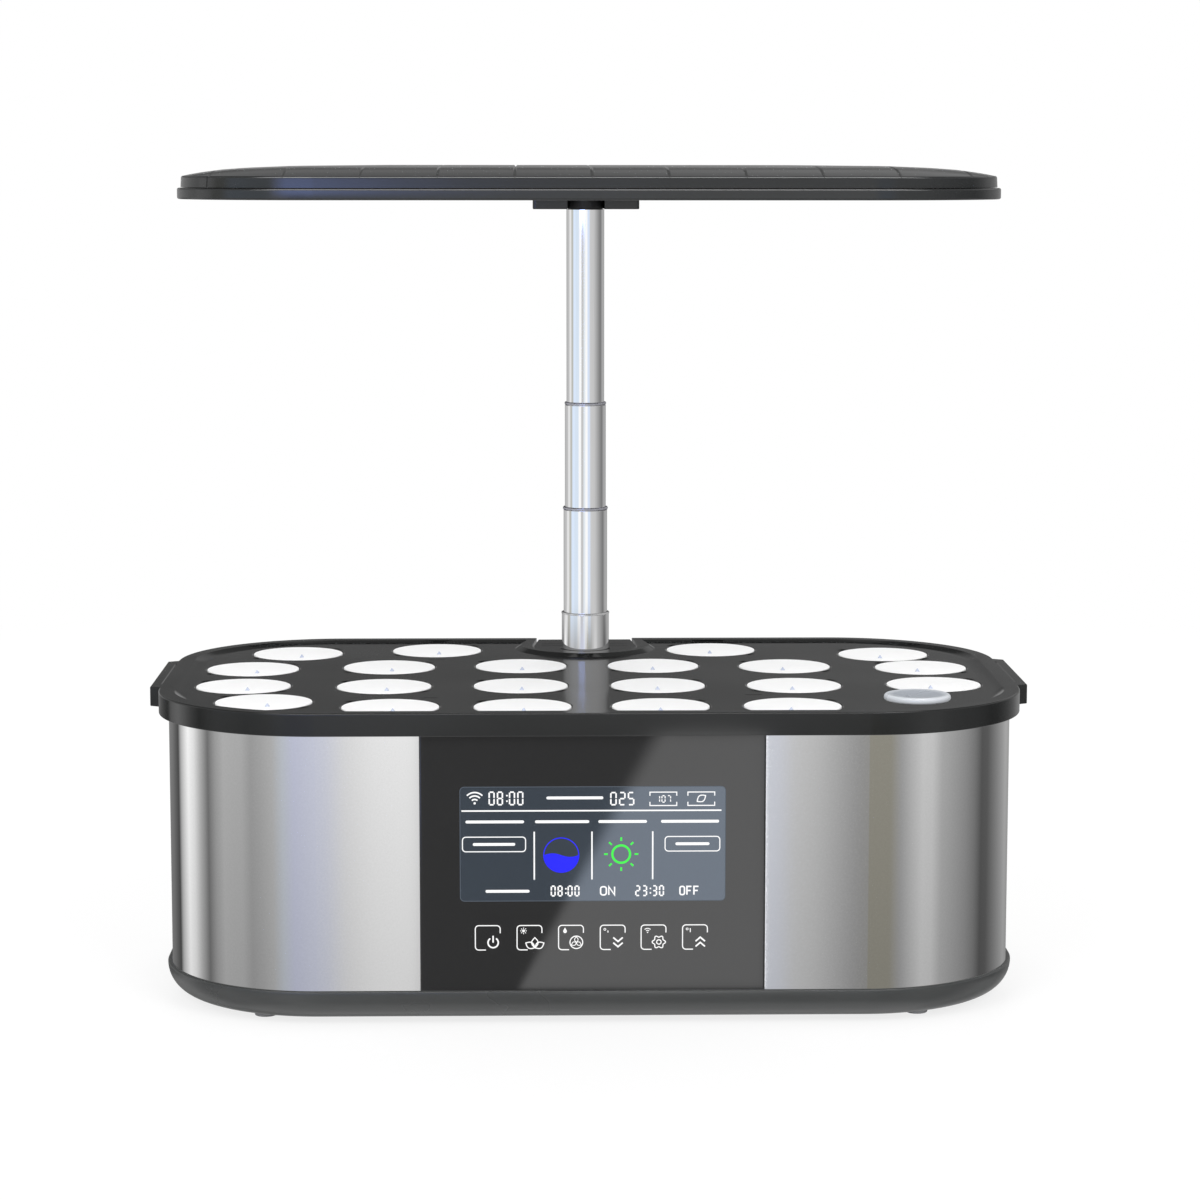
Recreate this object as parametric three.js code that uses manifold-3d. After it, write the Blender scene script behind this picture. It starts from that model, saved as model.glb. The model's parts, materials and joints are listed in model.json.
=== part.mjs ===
// Countertop hydroponic garden: a steel-banded water tank, a planting deck with lift-out pods,
// and a wide lamp on a telescopic mast.
// Millimetres, +Z up, front towards -Y. The origin lies on the surface that the feet stand on,
// under the centre of the body.

import * as THREE from "three";
import { mergeVertices } from "three/addons/utils/BufferGeometryUtils.js";
import Module from "manifold-3d";

const wasm = await Module();
wasm.setup();

// Fits
const faceGap = 0.3;
const slideGap = 0.3;
const overrun = 2;

// Body, measured on the outside of the steel band
const bodyHalfWidth = 212.2;
const bodyHalfDepth = 124.8;
const bodyCornerRadius = 78.2;
const bandThickness = 0.9;
const bandShownHeight = 126.3;

// Tray and feet
const footHeight = 2.5;
const footRadius = 5.5;
const trayHeight = 15.4;
const trayWall = 2.5;
const trayLip = 2.3;
const trayBottomInset = 12;
const trayFloorInset = 16;
const trayWallInset = 8;
const traySeatWidth = 5;
const bandSeatDepth = 1;
const footPlaceShares = [0.76, 0.8];

// Planting deck
const rimHeight = 11.3;
const rimOverhang = 5;
const rimWidth = 7.6;
const rimChamfer = 1.6;
const skirtThickness = 2.4;
const slopeWidthAtEnds = 7.5;
const slopeWidthAtFront = 1.3;
const floorCornerRadius = 66;
const deckRecess = 2.2;
const deckPlateThickness = 3.4;
const handleReach = 5.1;
const handleHalfLength = 43;
const handleSlant = 6;
const handleHeight = 10;

// Pods: a lid and its net cup
const lidRadius = 24;
const lidThickness = 1.6;
const lidChamfer = 0.3;
const lidProud = 0.2;
const lidSideGap = 0.4;
const cupTopRadius = 20.3;
const cupBottomRadius = 14.5;
const cupDepth = 43;
const cupSideGap = 1.1;

const cupTankGap = 1.2;
const podBridge = 2;
const spreadRounds = 200;

// Places of the pods as shares of the body's half width and half depth, from the front row back
const podPlaceShares = [
  [-0.764, -0.64],
  [-0.466, -0.77],
  [-0.16, -0.77],
  [0.16, -0.77],
  [0.466, -0.77],
  [-0.831, -0.23],
  [-0.493, -0.246],
  [-0.165, -0.235],
  [0.165, -0.235],
  [0.493, -0.246],
  [0.831, -0.23],
  [-0.83, 0.238],
  [-0.493, 0.282],
  [-0.165, 0.308],
  [0.165, 0.308],
  [0.493, 0.282],
  [0.83, 0.238],
  [-0.736, 0.687],
  [-0.382, 0.771],
  [0.324, 0.778],
  [0.761, 0.62],
];

// Water port cap, in the corner that mirrors the first pod
const portPlaceShares = [0.764, -0.64];
const capRadius = 16.6;
const capHeight = 3.1;
const capEdge = 1;
const capPlugRadius = 13.4;
const capPlugDepth = 5;
const capPlugGap = 0.5;

// Water tank
const tankSideGap = 3.1;
const tankWall = 2.2;
const tankFlangeThickness = 2;
const tankFloorRise = 3.6;
const tankFloorBevel = 8;
const tankFrontGap = 2.5;
const pocketDepth = 4.3;
const pocketRise = 2.3;

// Front panel, display and boards behind it
const panelHalfWidth = 83.7;
const panelThickness = 2.5;
const displayHalfWidth = 64.5;
const displayHeight = 56.6;
const displayThickness = 5.5;
const touchBoardHalfWidth = 60;
const touchBoardHeight = 18;
const displayDropShare = 0.493;
const touchBoardRiseShare = 0.335;
const boardThickness = 1.6;
const controlBoardWidth = 80;
const controlBoardDepth = 60;
const controlBoardRise = 3;
const controlBoardPlaceShares = [-0.2, -0.2];
const bossRadius = 3;
const bossInset = 5;

// Power inlet in the back of the tray
const inletPlaceShare = 0.33;
const inletHalfWidth = 6;
const inletHeight = 8.4;
const inletLength = 17.8;
const inletRise = 4.3;
const inletRecess = 3;
const inletSocketRadius = 3.1;
const inletSocketDepth = 10;

// Mast: a socket in the body, a fixed outer tube and three sliding tubes
const mastInset = 32.8;
const platformInset = 24.8;
const platformRadius = 28.3;
const platformBackHalfWidth = 25.5;
const platformDrop = 0.2;
const notchRidgeWidth = 10;
const notchRidgeSlope = 3.2;
const notchRidgeSetback = 5.5;
const notchRidgeBackWidth = 8.5;
const towerWall = 2.2;
const towerFloor = 3;
const channelGap = 3.5;
const baseTubeRadius = 13.1;
const baseTubeWall = 0.95;
const baseTubeRise = 20;
const lowerTubeRadius = 11.85;
const lowerTubeWall = 0.45;
const lowerTubeShown = 57.5;
const middleTubeRadius = 11.1;
const middleTubeWall = 0.6;
const middleTubeShown = 56.9;
const upperTubeRadius = 10.2;
const upperTubeWall = 0.6;
const upperTubeShown = 103.5;
const lowerTubeLength = 156;
const middleTubeLength = 147;
const upperTubeLength = 148;
const ringHeight = 1.4;
const ringReach = 0.4;
const middleRingReach = 0.2;
const bushLength = 8;
const bushWall = 1.2;

// Lamp
const lampHalfWidth = 205.5;
const lampHalfDepth = 117;
const lampBackReach = 30;
const lampCornerRadius = 72;
const lampFrameHeight = 5.5;
const lampShellInset = 1.8;
const lampShellWallHeight = 5.6;
const lampShellThickness = 2.2;
const domeRise = 5.3;
const domeRun = 100;
const domeMinRadius = 8;
const windowInset = 17.5;
const windowFrontInset = 14;
const windowBackInset = 68;
const windowCornerRadius = 50;
const windowLedge = 4;
const windowLedgeThickness = 1.5;
const windowThickness = 2;
const ledBoardThickness = 1.5;
const ledBoardInset = 1;

// Dome of the lamp shell: inset and rise as shares of the dome's run and rise
const domeShares = [
  [0.03, 0.12],
  [0.09, 0.32],
  [0.19, 0.57],
  [0.32, 0.75],
  [0.55, 0.92],
  [1, 1],
];
const ceilingShares = [
  [0.34, 0.7],
  [0.6, 0.94],
];

// Lamp bracket, the mast's head and its screws
const bracketHalfWidth = 28.3;
const bracketHalfDepth = 24;
const bracketThickness = 6.3;
const headRadius = 9.55;
const headPlugLength = 20;
const bracketSlotGap = 0.35;
const screwSpacing = 20;
const screwRadius = 1.6;
const screwHeadRadius = 3.4;
const screwHeadHeight = 1.6;
const screwHeadDrop = 0.6;
const screwBite = 3.5;

// Pump
const pumpPlaceShares = [-0.66, 0];
const pumpWidth = 44;
const pumpDepth = 34;
const pumpHeight = 28;
const rotorBoreRadius = 11.5;
const rotorBoreDepth = 12;
const rotorPinRadius = 1.2;
const impellerHubRadius = 4;
const impellerRadius = 10.6;
const impellerLength = 9;
const impellerBoreGap = 0.3;
const impellerBladeThickness = 1.4;
const impellerBlades = 4;
const impellerEndGap = 0.5;
const pumpCoverThickness = 2;
const pumpCoverMargin = 3;
const coverSlotWidth = 2;
const coverSlotPitch = 5;
const coverSlotHalfLength = 7;
const outletRadius = 6;
const outletWall = 1.6;
const outletDeckGap = 19.6;

// Water level sensor
const floatPlaceShares = [0.66, 0];
const stemRadius = 2.5;
const stemDeckGap = 30.9;
const stemFootRadius = 9;
const stemFootHeight = 3;
const floatRadius = 11;
const floatHeight = 14;
const floatGap = 0.6;

// Facets
const cornerSteps = 8;
const tubeSides = 24;
const podSides = 20;
const smallSides = 16;
const trayCurveSteps = 4;

// Heights that the rest follows
const trayLipZ = footHeight + trayHeight;
const rimBottomZ = trayLipZ + bandShownHeight;
const rimTopZ = rimBottomZ + rimHeight;
const deckFloorZ = rimTopZ - deckRecess;
const deckUndersideZ = deckFloorZ - deckPlateThickness;
const flangeTopZ = deckUndersideZ - faceGap;
const flangeBottomZ = flangeTopZ - tankFlangeThickness;
const bandTopZ = flangeBottomZ - faceGap;
const bandBottomZ = trayLipZ - bandSeatDepth;
const trayFloorZ = footHeight + trayWall;
const tankBottomZ = trayLipZ + tankFloorRise;
const tankFloorZ = tankBottomZ + tankWall;
const lidUndersideZ = deckFloorZ + lidProud - lidThickness;
const podSeatZ = lidUndersideZ - faceGap;
const panelTopZ = bandTopZ;
const panelFreeHeight = bandShownHeight - displayHeight - touchBoardHeight;
const displayTopZ = rimBottomZ - displayDropShare * panelFreeHeight;
const touchBoardBottomZ = trayLipZ + touchBoardRiseShare * panelFreeHeight;
const pocketTopZ = displayTopZ + pocketRise;
const platformTopZ = rimTopZ - platformDrop;
const towerBottomZ = trayFloorZ + faceGap;
const baseTubeTopZ = rimTopZ + baseTubeRise;
const lowerTubeTopZ = baseTubeTopZ + lowerTubeShown;
const middleTubeTopZ = lowerTubeTopZ + middleTubeShown;
const upperTubeTopZ = middleTubeTopZ + upperTubeShown;
const bracketBottomZ = upperTubeTopZ + faceGap;
const bracketTopZ = bracketBottomZ + bracketThickness;
const lampBottomZ = bracketTopZ + faceGap;
const lampFrameTopZ = lampBottomZ + lampFrameHeight;
const lampShellBottomZ = lampFrameTopZ + faceGap;
const lampShellWallTopZ = lampShellBottomZ + lampShellWallHeight;

// Depths that the rest follows
const panelBackY = panelThickness - bodyHalfDepth;
const tankUpperFrontY = panelBackY + tankFrontGap;
const tankLowerFrontY = tankUpperFrontY + pocketDepth;
const tankInset = bandThickness + tankSideGap;
const mastY = bodyHalfDepth - mastInset;
const platformY = bodyHalfDepth - platformInset;
const ridgeY = platformY + notchRidgeSetback;
const lampY = mastY + lampBackReach - lampHalfDepth;
const quarterTurn = Math.PI / 2;
const fullTurn = Math.PI * 2;

// Drops the faces that shrink to a line where a profile meets its axis
function withoutFlatFaces(geometry) {
  const bare = geometry.clone();
  bare.deleteAttribute("normal");
  bare.deleteAttribute("uv");
  const merged = mergeVertices(bare);
  const corners = Array.from(merged.index.array);
  const kept = [];
  for (let first = 0; first < corners.length; first += 3) {
    const [a, b, c] = corners.slice(first, first + 3);
    if (a !== b && b !== c && c !== a) {
      kept.push(a, b, c);
    }
  }
  merged.setIndex(kept);
  return merged;
}

function solidFrom(geometry) {
  const merged = withoutFlatFaces(geometry);
  return new wasm.Manifold(
    new wasm.Mesh({
      numProp: 3,
      vertProperties: new Float32Array(merged.attributes.position.array),
      triVerts: new Uint32Array(merged.index.array),
    }),
  );
}

function geometryFrom(solid) {
  const mesh = solid.getMesh();
  const geometry = new THREE.BufferGeometry();
  geometry.setAttribute("position", new THREE.BufferAttribute(mesh.vertProperties, 3));
  geometry.setIndex(new THREE.BufferAttribute(mesh.triVerts, 1));
  geometry.computeVertexNormals();
  return geometry;
}

function joined(...geometries) {
  const solids = geometries.map(solidFrom);
  return geometryFrom(solids.reduce((whole, solid) => whole.add(solid)));
}

function cut(geometry, ...cutters) {
  const solids = cutters.map(solidFrom);
  return geometryFrom(solids.reduce((rest, solid) => rest.subtract(solid), solidFrom(geometry)));
}

function block(lowX, highX, lowY, highY, lowZ, highZ) {
  const geometry = new THREE.BoxGeometry(highX - lowX, highY - lowY, highZ - lowZ);
  return geometry.translate((lowX + highX) / 2, (lowY + highY) / 2, (lowZ + highZ) / 2);
}

// A rod along Z
function rod(radius, lowZ, highZ, sides, x = 0, y = 0) {
  const geometry = new THREE.CylinderGeometry(radius, radius, highZ - lowZ, sides);
  geometry.rotateX(quarterTurn);
  return geometry.translate(x, y, (lowZ + highZ) / 2);
}

// A rod along Y
function rodAlongDepth(radius, lowY, highY, sides, x, z) {
  const geometry = new THREE.CylinderGeometry(radius, radius, highY - lowY, sides);
  return geometry.translate(x, (lowY + highY) / 2, z);
}

// A profile of [radius, height] pairs, from the bottom up, turned about Z
function turned(profile, sides) {
  const points = profile.map(([radius, height]) => new THREE.Vector2(radius, height));
  const geometry = new THREE.LatheGeometry(points, sides);
  geometry.rotateX(quarterTurn);
  const whole = withoutFlatFaces(geometry);
  whole.computeVertexNormals();
  return whole;
}

function tube(outerRadius, innerRadius, lowZ, highZ) {
  const profile = [
    [innerRadius, lowZ],
    [outerRadius, lowZ],
    [outerRadius, highZ],
    [innerRadius, highZ],
    [innerRadius, lowZ],
  ];
  return turned(profile, tubeSides);
}

// Points of a rectangle with round corners, counter-clockwise seen from above
function roundedOutline(halfWidth, frontY, backY, radius) {
  const centres = [
    [halfWidth - radius, frontY + radius],
    [halfWidth - radius, backY - radius],
    [radius - halfWidth, backY - radius],
    [radius - halfWidth, frontY + radius],
  ];
  const outline = [];
  centres.forEach(([x, y], corner) => {
    for (let step = 0; step <= cornerSteps; step += 1) {
      const angle = (corner - 1 + step / cornerSteps) * quarterTurn;
      outline.push(new THREE.Vector2(x + radius * Math.cos(angle), y + radius * Math.sin(angle)));
    }
  });
  return outline;
}

// The steel band's outline, grown outwards by a reach
function bodyOutline(reach) {
  const halfDepth = bodyHalfDepth + reach;
  return roundedOutline(bodyHalfWidth + reach, -halfDepth, halfDepth, bodyCornerRadius + reach);
}

// The tank's outline with its own front
function tankOutline(inset, frontY) {
  return roundedOutline(
    bodyHalfWidth - tankInset - inset,
    frontY + inset,
    bodyHalfDepth - tankInset - inset,
    bodyCornerRadius - tankInset - inset,
  );
}

// The lamp's outline, drawn in by an inset
function lampOutline(inset) {
  const radius = Math.max(lampCornerRadius - inset, domeMinRadius);
  const halfDepth = lampHalfDepth - inset;
  return roundedOutline(lampHalfWidth - inset, lampY - halfDepth, lampY + halfDepth, radius);
}

// A half-round front with sides that run to a narrower back
function notchOutline(centreY, radius, backHalfWidth, backY) {
  const steps = cornerSteps * 2;
  const outline = [];
  for (let step = 0; step <= steps; step += 1) {
    const angle = (step / steps) * Math.PI - Math.PI;
    const x = radius * Math.cos(angle);
    outline.push(new THREE.Vector2(x, centreY + radius * Math.sin(angle)));
  }
  outline.push(new THREE.Vector2(backHalfWidth, backY));
  outline.push(new THREE.Vector2(-backHalfWidth, backY));
  return outline;
}

// Walls between outlines of equal count, listed as [outline, height] along the wall's path:
// up the outside, in over the top and down the inside. A loop's last outline joins its first.
function loft(levels, isLoop = false) {
  const count = levels[0][0].length;
  const positions = levels.flatMap(([outline, z]) => outline.flatMap(({ x, y }) => [x, y, z]));
  const faces = [];
  const spans = isLoop ? levels.length : levels.length - 1;
  for (let level = 0; level < spans; level += 1) {
    const here = level * count;
    const there = ((level + 1) % levels.length) * count;
    for (let point = 0; point < count; point += 1) {
      const next = (point + 1) % count;
      faces.push(here + point, here + next, there + next);
      faces.push(here + point, there + next, there + point);
    }
  }
  if (!isLoop) {
    const top = (levels.length - 1) * count;
    const firstCap = THREE.ShapeUtils.triangulateShape(levels[0][0], []);
    const lastCap = THREE.ShapeUtils.triangulateShape(levels[levels.length - 1][0], []);
    firstCap.forEach(([a, b, c]) => faces.push(a, c, b));
    lastCap.forEach(([a, b, c]) => faces.push(top + a, top + b, top + c));
  }
  const geometry = new THREE.BufferGeometry();
  geometry.setAttribute("position", new THREE.Float32BufferAttribute(positions, 3));
  geometry.setIndex(faces);
  geometry.computeVertexNormals();
  return geometry;
}

function plate(outline, lowZ, highZ) {
  const levels = [
    [outline, lowZ],
    [outline, highZ],
  ];
  return loft(levels);
}

function placeOf([widthShare, depthShare]) {
  return [widthShare * bodyHalfWidth, depthShare * bodyHalfDepth];
}

// Moves a point into the part of the deck where a cup clears the tank's walls
function heldOverTank([x, y]) {
  const cupRoom = tankWall + cupTankGap + cupTopRadius;
  const radius = bodyCornerRadius - tankInset - cupRoom;
  const coreHalfWidth = bodyHalfWidth - tankInset - cupRoom - radius;
  const coreFrontY = tankUpperFrontY + cupRoom + radius;
  const coreBackY = bodyHalfDepth - tankInset - cupRoom - radius;
  const coreX = Math.min(Math.max(x, -coreHalfWidth), coreHalfWidth);
  const coreY = Math.min(Math.max(y, coreFrontY), coreBackY);
  const reach = Math.hypot(x - coreX, y - coreY);
  const kept = reach > radius ? radius / reach : 1;
  return [coreX + (x - coreX) * kept, coreY + (y - coreY) * kept];
}

// Places of the pods and then of the water port. Where the body's size brings two of them or
// the mast's ridge too close, they are moved apart until a bridge of deck is left between them.
function spreadPlaces() {
  const seatRadius = lidRadius + lidSideGap;
  const discs = podPlaceShares.map((shares) => ({ place: placeOf(shares), radius: seatRadius }));
  discs.push({ place: placeOf(portPlaceShares), radius: capRadius });
  const ridge = { place: [0, ridgeY], radius: platformRadius + notchRidgeWidth, fixed: true };
  const all = [...discs, ridge];
  for (let round = 0; round < spreadRounds; round += 1) {
    discs.forEach((disc, index) => {
      all.slice(index + 1).forEach((other) => pushApart(disc, other));
      disc.place = heldOverTank(disc.place);
    });
  }
  return discs.map(({ place }) => place);
}

function pushApart(disc, other) {
  const [x, y] = disc.place;
  const [otherX, otherY] = other.place;
  const distance = Math.hypot(x - otherX, y - otherY);
  const shortfall = disc.radius + other.radius + podBridge - distance;
  if (shortfall <= 0) {
    return;
  }
  const moveX = ((x - otherX) / distance) * shortfall;
  const moveY = ((y - otherY) / distance) * shortfall;
  if (other.fixed) {
    disc.place = [x + moveX, y + moveY];
    return;
  }
  disc.place = [x + moveX / 2, y + moveY / 2];
  other.place = [otherX - moveX / 2, otherY - moveY / 2];
}

const places = spreadPlaces();
const podPlaces = places.slice(0, podPlaceShares.length);
const [portX, portY] = places[podPlaceShares.length];

const finishes = {
  steel: { color: 0xb9bbb9, roughness: 0.24, metalness: 1 },
  polishedSteel: { color: 0xcdd1d6, roughness: 0.14, metalness: 1 },
  blackPlastic: { color: 0x3c3e3e, roughness: 0.5, metalness: 0 },
  greyPlastic: { color: 0x55585a, roughness: 0.55, metalness: 0 },
  glossBlack: { color: 0x2c2c2e, roughness: 0.08, metalness: 0 },
  whitePlastic: { color: 0xfafafa, roughness: 0.5, metalness: 0 },
  frostedCap: { color: 0xc9ccd4, roughness: 0.35, metalness: 0 },
  rubber: { color: 0x9a9c9e, roughness: 0.9, metalness: 0 },
  screen: { color: 0x4a505c, roughness: 0.2, metalness: 0 },
  circuitBoard: { color: 0x1f4a34, roughness: 0.6, metalness: 0 },
  lampBoard: { color: 0xe9ebec, roughness: 0.5, metalness: 0.2 },
  clearPlastic: { color: 0xe8ecee, roughness: 0.2, metalness: 0 },
  bushPlastic: { color: 0xd8d6cf, roughness: 0.6, metalness: 0 },
};

const garden = new THREE.Group();

function addPart(name, geometry, finish, position = [0, 0, 0]) {
  const mesh = new THREE.Mesh(geometry, new THREE.MeshStandardMaterial(finishes[finish]));
  mesh.name = name;
  mesh.position.set(...position);
  garden.add(mesh);
}

// Tray: a shallow bowl whose lip stands outside the steel band
function trayGeometry() {
  const outside = [];
  for (let step = 0; step <= trayCurveSteps; step += 1) {
    const angle = (1 - step / trayCurveSteps) * quarterTurn;
    const reach = (trayLip + trayBottomInset) * Math.cos(angle) - trayBottomInset;
    outside.push([bodyOutline(reach), trayLipZ - trayHeight * Math.sin(angle)]);
  }
  const bandSeatZ = bandBottomZ - faceGap;
  const trayWallZ = (trayFloorZ + bandSeatZ) / 2;
  const inside = [
    [bodyOutline(faceGap), trayLipZ],
    [bodyOutline(faceGap), bandSeatZ],
    [bodyOutline(-traySeatWidth), bandSeatZ],
    [bodyOutline(-trayWallInset), trayWallZ],
    [bodyOutline(-trayFloorInset), trayFloorZ],
  ];
  const bowl = loft([...outside, ...inside]);
  const bosses = boardCorners().map(([x, y]) =>
    rod(bossRadius, trayFloorZ - trayWall / 2, trayFloorZ + controlBoardRise, smallSides, x, y),
  );
  const inletX = inletPlaceShare * bodyHalfWidth;
  const inletPocket = block(
    inletX - inletHalfWidth - faceGap,
    inletX + inletHalfWidth + faceGap,
    bodyHalfDepth - inletRecess - inletLength - faceGap,
    bodyHalfDepth + trayLip + overrun,
    footHeight + inletRise - faceGap,
    footHeight + inletRise + inletHeight + faceGap,
  );
  return cut(joined(bowl, ...bosses), inletPocket);
}

function boardCorners() {
  const [boardX, boardY] = placeOf(controlBoardPlaceShares);
  const reachX = controlBoardWidth / 2 - bossInset;
  const reachY = controlBoardDepth / 2 - bossInset;
  return [
    [boardX - reachX, boardY - reachY],
    [boardX + reachX, boardY - reachY],
    [boardX + reachX, boardY + reachY],
    [boardX - reachX, boardY + reachY],
  ];
}

function addBase() {
  addPart("base_tray", trayGeometry(), "greyPlastic");
  const [footX, footY] = placeOf(footPlaceShares);
  const footPlaces = {
    front_left_foot: [-footX, -footY],
    front_right_foot: [footX, -footY],
    rear_left_foot: [-footX, footY],
    rear_right_foot: [footX, footY],
  };
  Object.entries(footPlaces).forEach(([name, [x, y]]) => {
    addPart(name, rod(footRadius, 0, footHeight - faceGap, smallSides), "rubber", [x, y, 0]);
  });
  const [boardX, boardY] = placeOf(controlBoardPlaceShares);
  const boardZ = trayFloorZ + controlBoardRise + faceGap;
  const board = new THREE.BoxGeometry(controlBoardWidth, controlBoardDepth, boardThickness);
  addPart("control_board", board, "circuitBoard", [boardX, boardY, boardZ + boardThickness / 2]);

  const inlet = block(-inletHalfWidth, inletHalfWidth, -inletLength, 0, 0, inletHeight);
  const socket = rodAlongDepth(
    inletSocketRadius,
    -inletSocketDepth,
    overrun,
    smallSides,
    0,
    inletHeight / 2,
  );
  const inletPlace = [
    inletPlaceShare * bodyHalfWidth,
    bodyHalfDepth - inletRecess,
    footHeight + inletRise,
  ];
  addPart("power_inlet", cut(inlet, socket), "blackPlastic", inletPlace);
}

// Steel band: one sheet bent round the body, open where the front panel sits
function addBandAndPanel() {
  const bandLevels = [
    [bodyOutline(0), bandBottomZ],
    [bodyOutline(0), bandTopZ],
    [bodyOutline(-bandThickness), bandTopZ],
    [bodyOutline(-bandThickness), bandBottomZ],
  ];
  const panelOpening = block(
    -panelHalfWidth - faceGap,
    panelHalfWidth + faceGap,
    -bodyHalfDepth - overrun,
    panelBackY,
    bandBottomZ - overrun,
    bandTopZ + overrun,
  );
  addPart("steel_band", cut(loft(bandLevels, true), panelOpening), "steel");

  const panel = block(
    -panelHalfWidth,
    panelHalfWidth,
    -bodyHalfDepth,
    panelBackY,
    bandBottomZ,
    panelTopZ,
  );
  addPart("front_panel", panel, "glossBlack");
  const behindPanelY = panelBackY + faceGap;
  const display = block(
    -displayHalfWidth,
    displayHalfWidth,
    behindPanelY,
    behindPanelY + displayThickness,
    displayTopZ - displayHeight,
    displayTopZ,
  );
  addPart("display_module", display, "screen");
  const touchBoard = block(
    -touchBoardHalfWidth,
    touchBoardHalfWidth,
    behindPanelY,
    behindPanelY + boardThickness,
    touchBoardBottomZ,
    touchBoardBottomZ + touchBoardHeight,
  );
  addPart("touch_board", touchBoard, "circuitBoard");
}

// Water tank: hangs by its flange on the band, with a pocket for the display in front
// and a channel for the mast's tower behind
function addTank() {
  const bevelZ = tankBottomZ + tankFloorBevel;
  const shelfZ = pocketTopZ + tankWall;
  const tub = loft([
    [tankOutline(tankFloorBevel, tankLowerFrontY), tankBottomZ],
    [tankOutline(0, tankLowerFrontY), bevelZ],
    [tankOutline(0, tankLowerFrontY), pocketTopZ],
    [tankOutline(0, tankUpperFrontY), pocketTopZ],
    [tankOutline(0, tankUpperFrontY), flangeBottomZ],
    [bodyOutline(0), flangeBottomZ],
    [bodyOutline(0), flangeTopZ],
    [tankOutline(tankWall, tankUpperFrontY), flangeTopZ],
    [tankOutline(tankWall, tankUpperFrontY), shelfZ],
    [tankOutline(tankWall, tankLowerFrontY), shelfZ],
    [tankOutline(tankWall, tankLowerFrontY), bevelZ],
    [tankOutline(tankWall + tankFloorBevel, tankLowerFrontY), tankFloorZ],
  ]);
  const channelHalfWidth = baseTubeRadius + slideGap + towerWall + channelGap;
  const channelFrontY = mastY - channelHalfWidth;
  const channelWall = block(
    -channelHalfWidth - tankWall,
    channelHalfWidth + tankWall,
    channelFrontY - tankWall,
    bodyHalfDepth - tankInset - tankWall / 2,
    tankBottomZ + tankWall / 2,
    flangeTopZ,
  );
  const channel = block(
    -channelHalfWidth,
    channelHalfWidth,
    channelFrontY,
    bodyHalfDepth + overrun,
    tankBottomZ - overrun,
    flangeTopZ + overrun,
  );
  addPart("water_tank", cut(joined(tub, channelWall), channel), "greyPlastic");
}

// Planting deck: a skirted lid with a raised rim, end handles, pod holes and the mast's notch
function addDeck() {
  const skirtInside = rimOverhang - skirtThickness;
  const floorHalfWidth = bodyHalfWidth + rimOverhang - rimWidth - slopeWidthAtEnds;
  const floorHalfDepth = bodyHalfDepth + rimOverhang - rimWidth - slopeWidthAtFront;
  const floorOutline = roundedOutline(
    floorHalfWidth,
    -floorHalfDepth,
    floorHalfDepth,
    floorCornerRadius,
  );
  const lid = loft([
    [bodyOutline(skirtInside), deckUndersideZ],
    [bodyOutline(skirtInside), rimBottomZ],
    [bodyOutline(rimOverhang), rimBottomZ],
    [bodyOutline(rimOverhang), rimTopZ - rimChamfer],
    [bodyOutline(rimOverhang - rimChamfer), rimTopZ],
    [bodyOutline(rimOverhang - rimWidth), rimTopZ],
    [floorOutline, deckFloorZ],
  ]);

  const ridgeRadius = platformRadius + notchRidgeWidth;
  const ridgeBackY = bodyHalfDepth + rimOverhang - rimWidth / 2;
  const ridgeOutline = (inset) => {
    const backHalfWidth = platformBackHalfWidth + notchRidgeBackWidth - inset;
    return notchOutline(ridgeY, ridgeRadius - inset, backHalfWidth, ridgeBackY);
  };
  const ridge = loft([
    [ridgeOutline(0), deckUndersideZ],
    [ridgeOutline(0), deckFloorZ],
    [ridgeOutline(notchRidgeSlope), rimTopZ],
  ]);

  const handles = [-1, 1].map((side) => handleGeometry(side));
  const notchRadius = platformRadius + faceGap;
  const notchBackHalfWidth = platformBackHalfWidth + faceGap;
  const notchBackY = bodyHalfDepth + rimOverhang + overrun;
  const notch = plate(
    notchOutline(platformY, notchRadius, notchBackHalfWidth, notchBackY),
    rimBottomZ - overrun,
    rimTopZ + overrun,
  );
  const podHoles = podPlaces.flatMap(([x, y]) => {
    const seat = rod(lidRadius + lidSideGap, podSeatZ, rimTopZ + overrun, podSides, x, y);
    const hole = rod(cupTopRadius + cupSideGap, rimBottomZ, rimTopZ, podSides, x, y);
    return [seat, hole];
  });
  const port = rod(capPlugRadius + capPlugGap, rimBottomZ, rimTopZ, podSides, portX, portY);
  const body = joined(lid, ridge, ...handles);
  addPart("planting_deck", cut(body, notch, ...podHoles, port), "blackPlastic");
}

// An end handle: a ledge with slanted ends on the rim's outer face
function handleGeometry(side) {
  const rootX = bodyHalfWidth + rimOverhang - skirtThickness / 2;
  const tipX = bodyHalfWidth + rimOverhang + handleReach;
  const corners = [
    [rootX, -handleHalfLength - handleSlant],
    [tipX, -handleHalfLength],
    [tipX, handleHalfLength],
    [rootX, handleHalfLength + handleSlant],
  ];
  const outline = corners.map(([x, y]) => new THREE.Vector2(side * x, y));
  if (side < 0) {
    outline.reverse();
  }
  return plate(outline, rimTopZ - handleHeight, rimTopZ - rimChamfer / 4);
}

// Pods: a lid with its net cup, lifted out of the deck one by one
function addPods() {
  const profile = [
    [0, -cupDepth],
    [cupBottomRadius, -cupDepth],
    [cupTopRadius, 0],
    [lidRadius, 0],
    [lidRadius, lidThickness - lidChamfer],
    [lidRadius - lidChamfer, lidThickness],
    [0, lidThickness],
  ];
  podPlaces.forEach(([x, y], index) => {
    const name = `pod_${String(index + 1).padStart(2, "0")}`;
    addPart(name, turned(profile, podSides), "whitePlastic", [x, y, lidUndersideZ]);
  });
}

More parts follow.
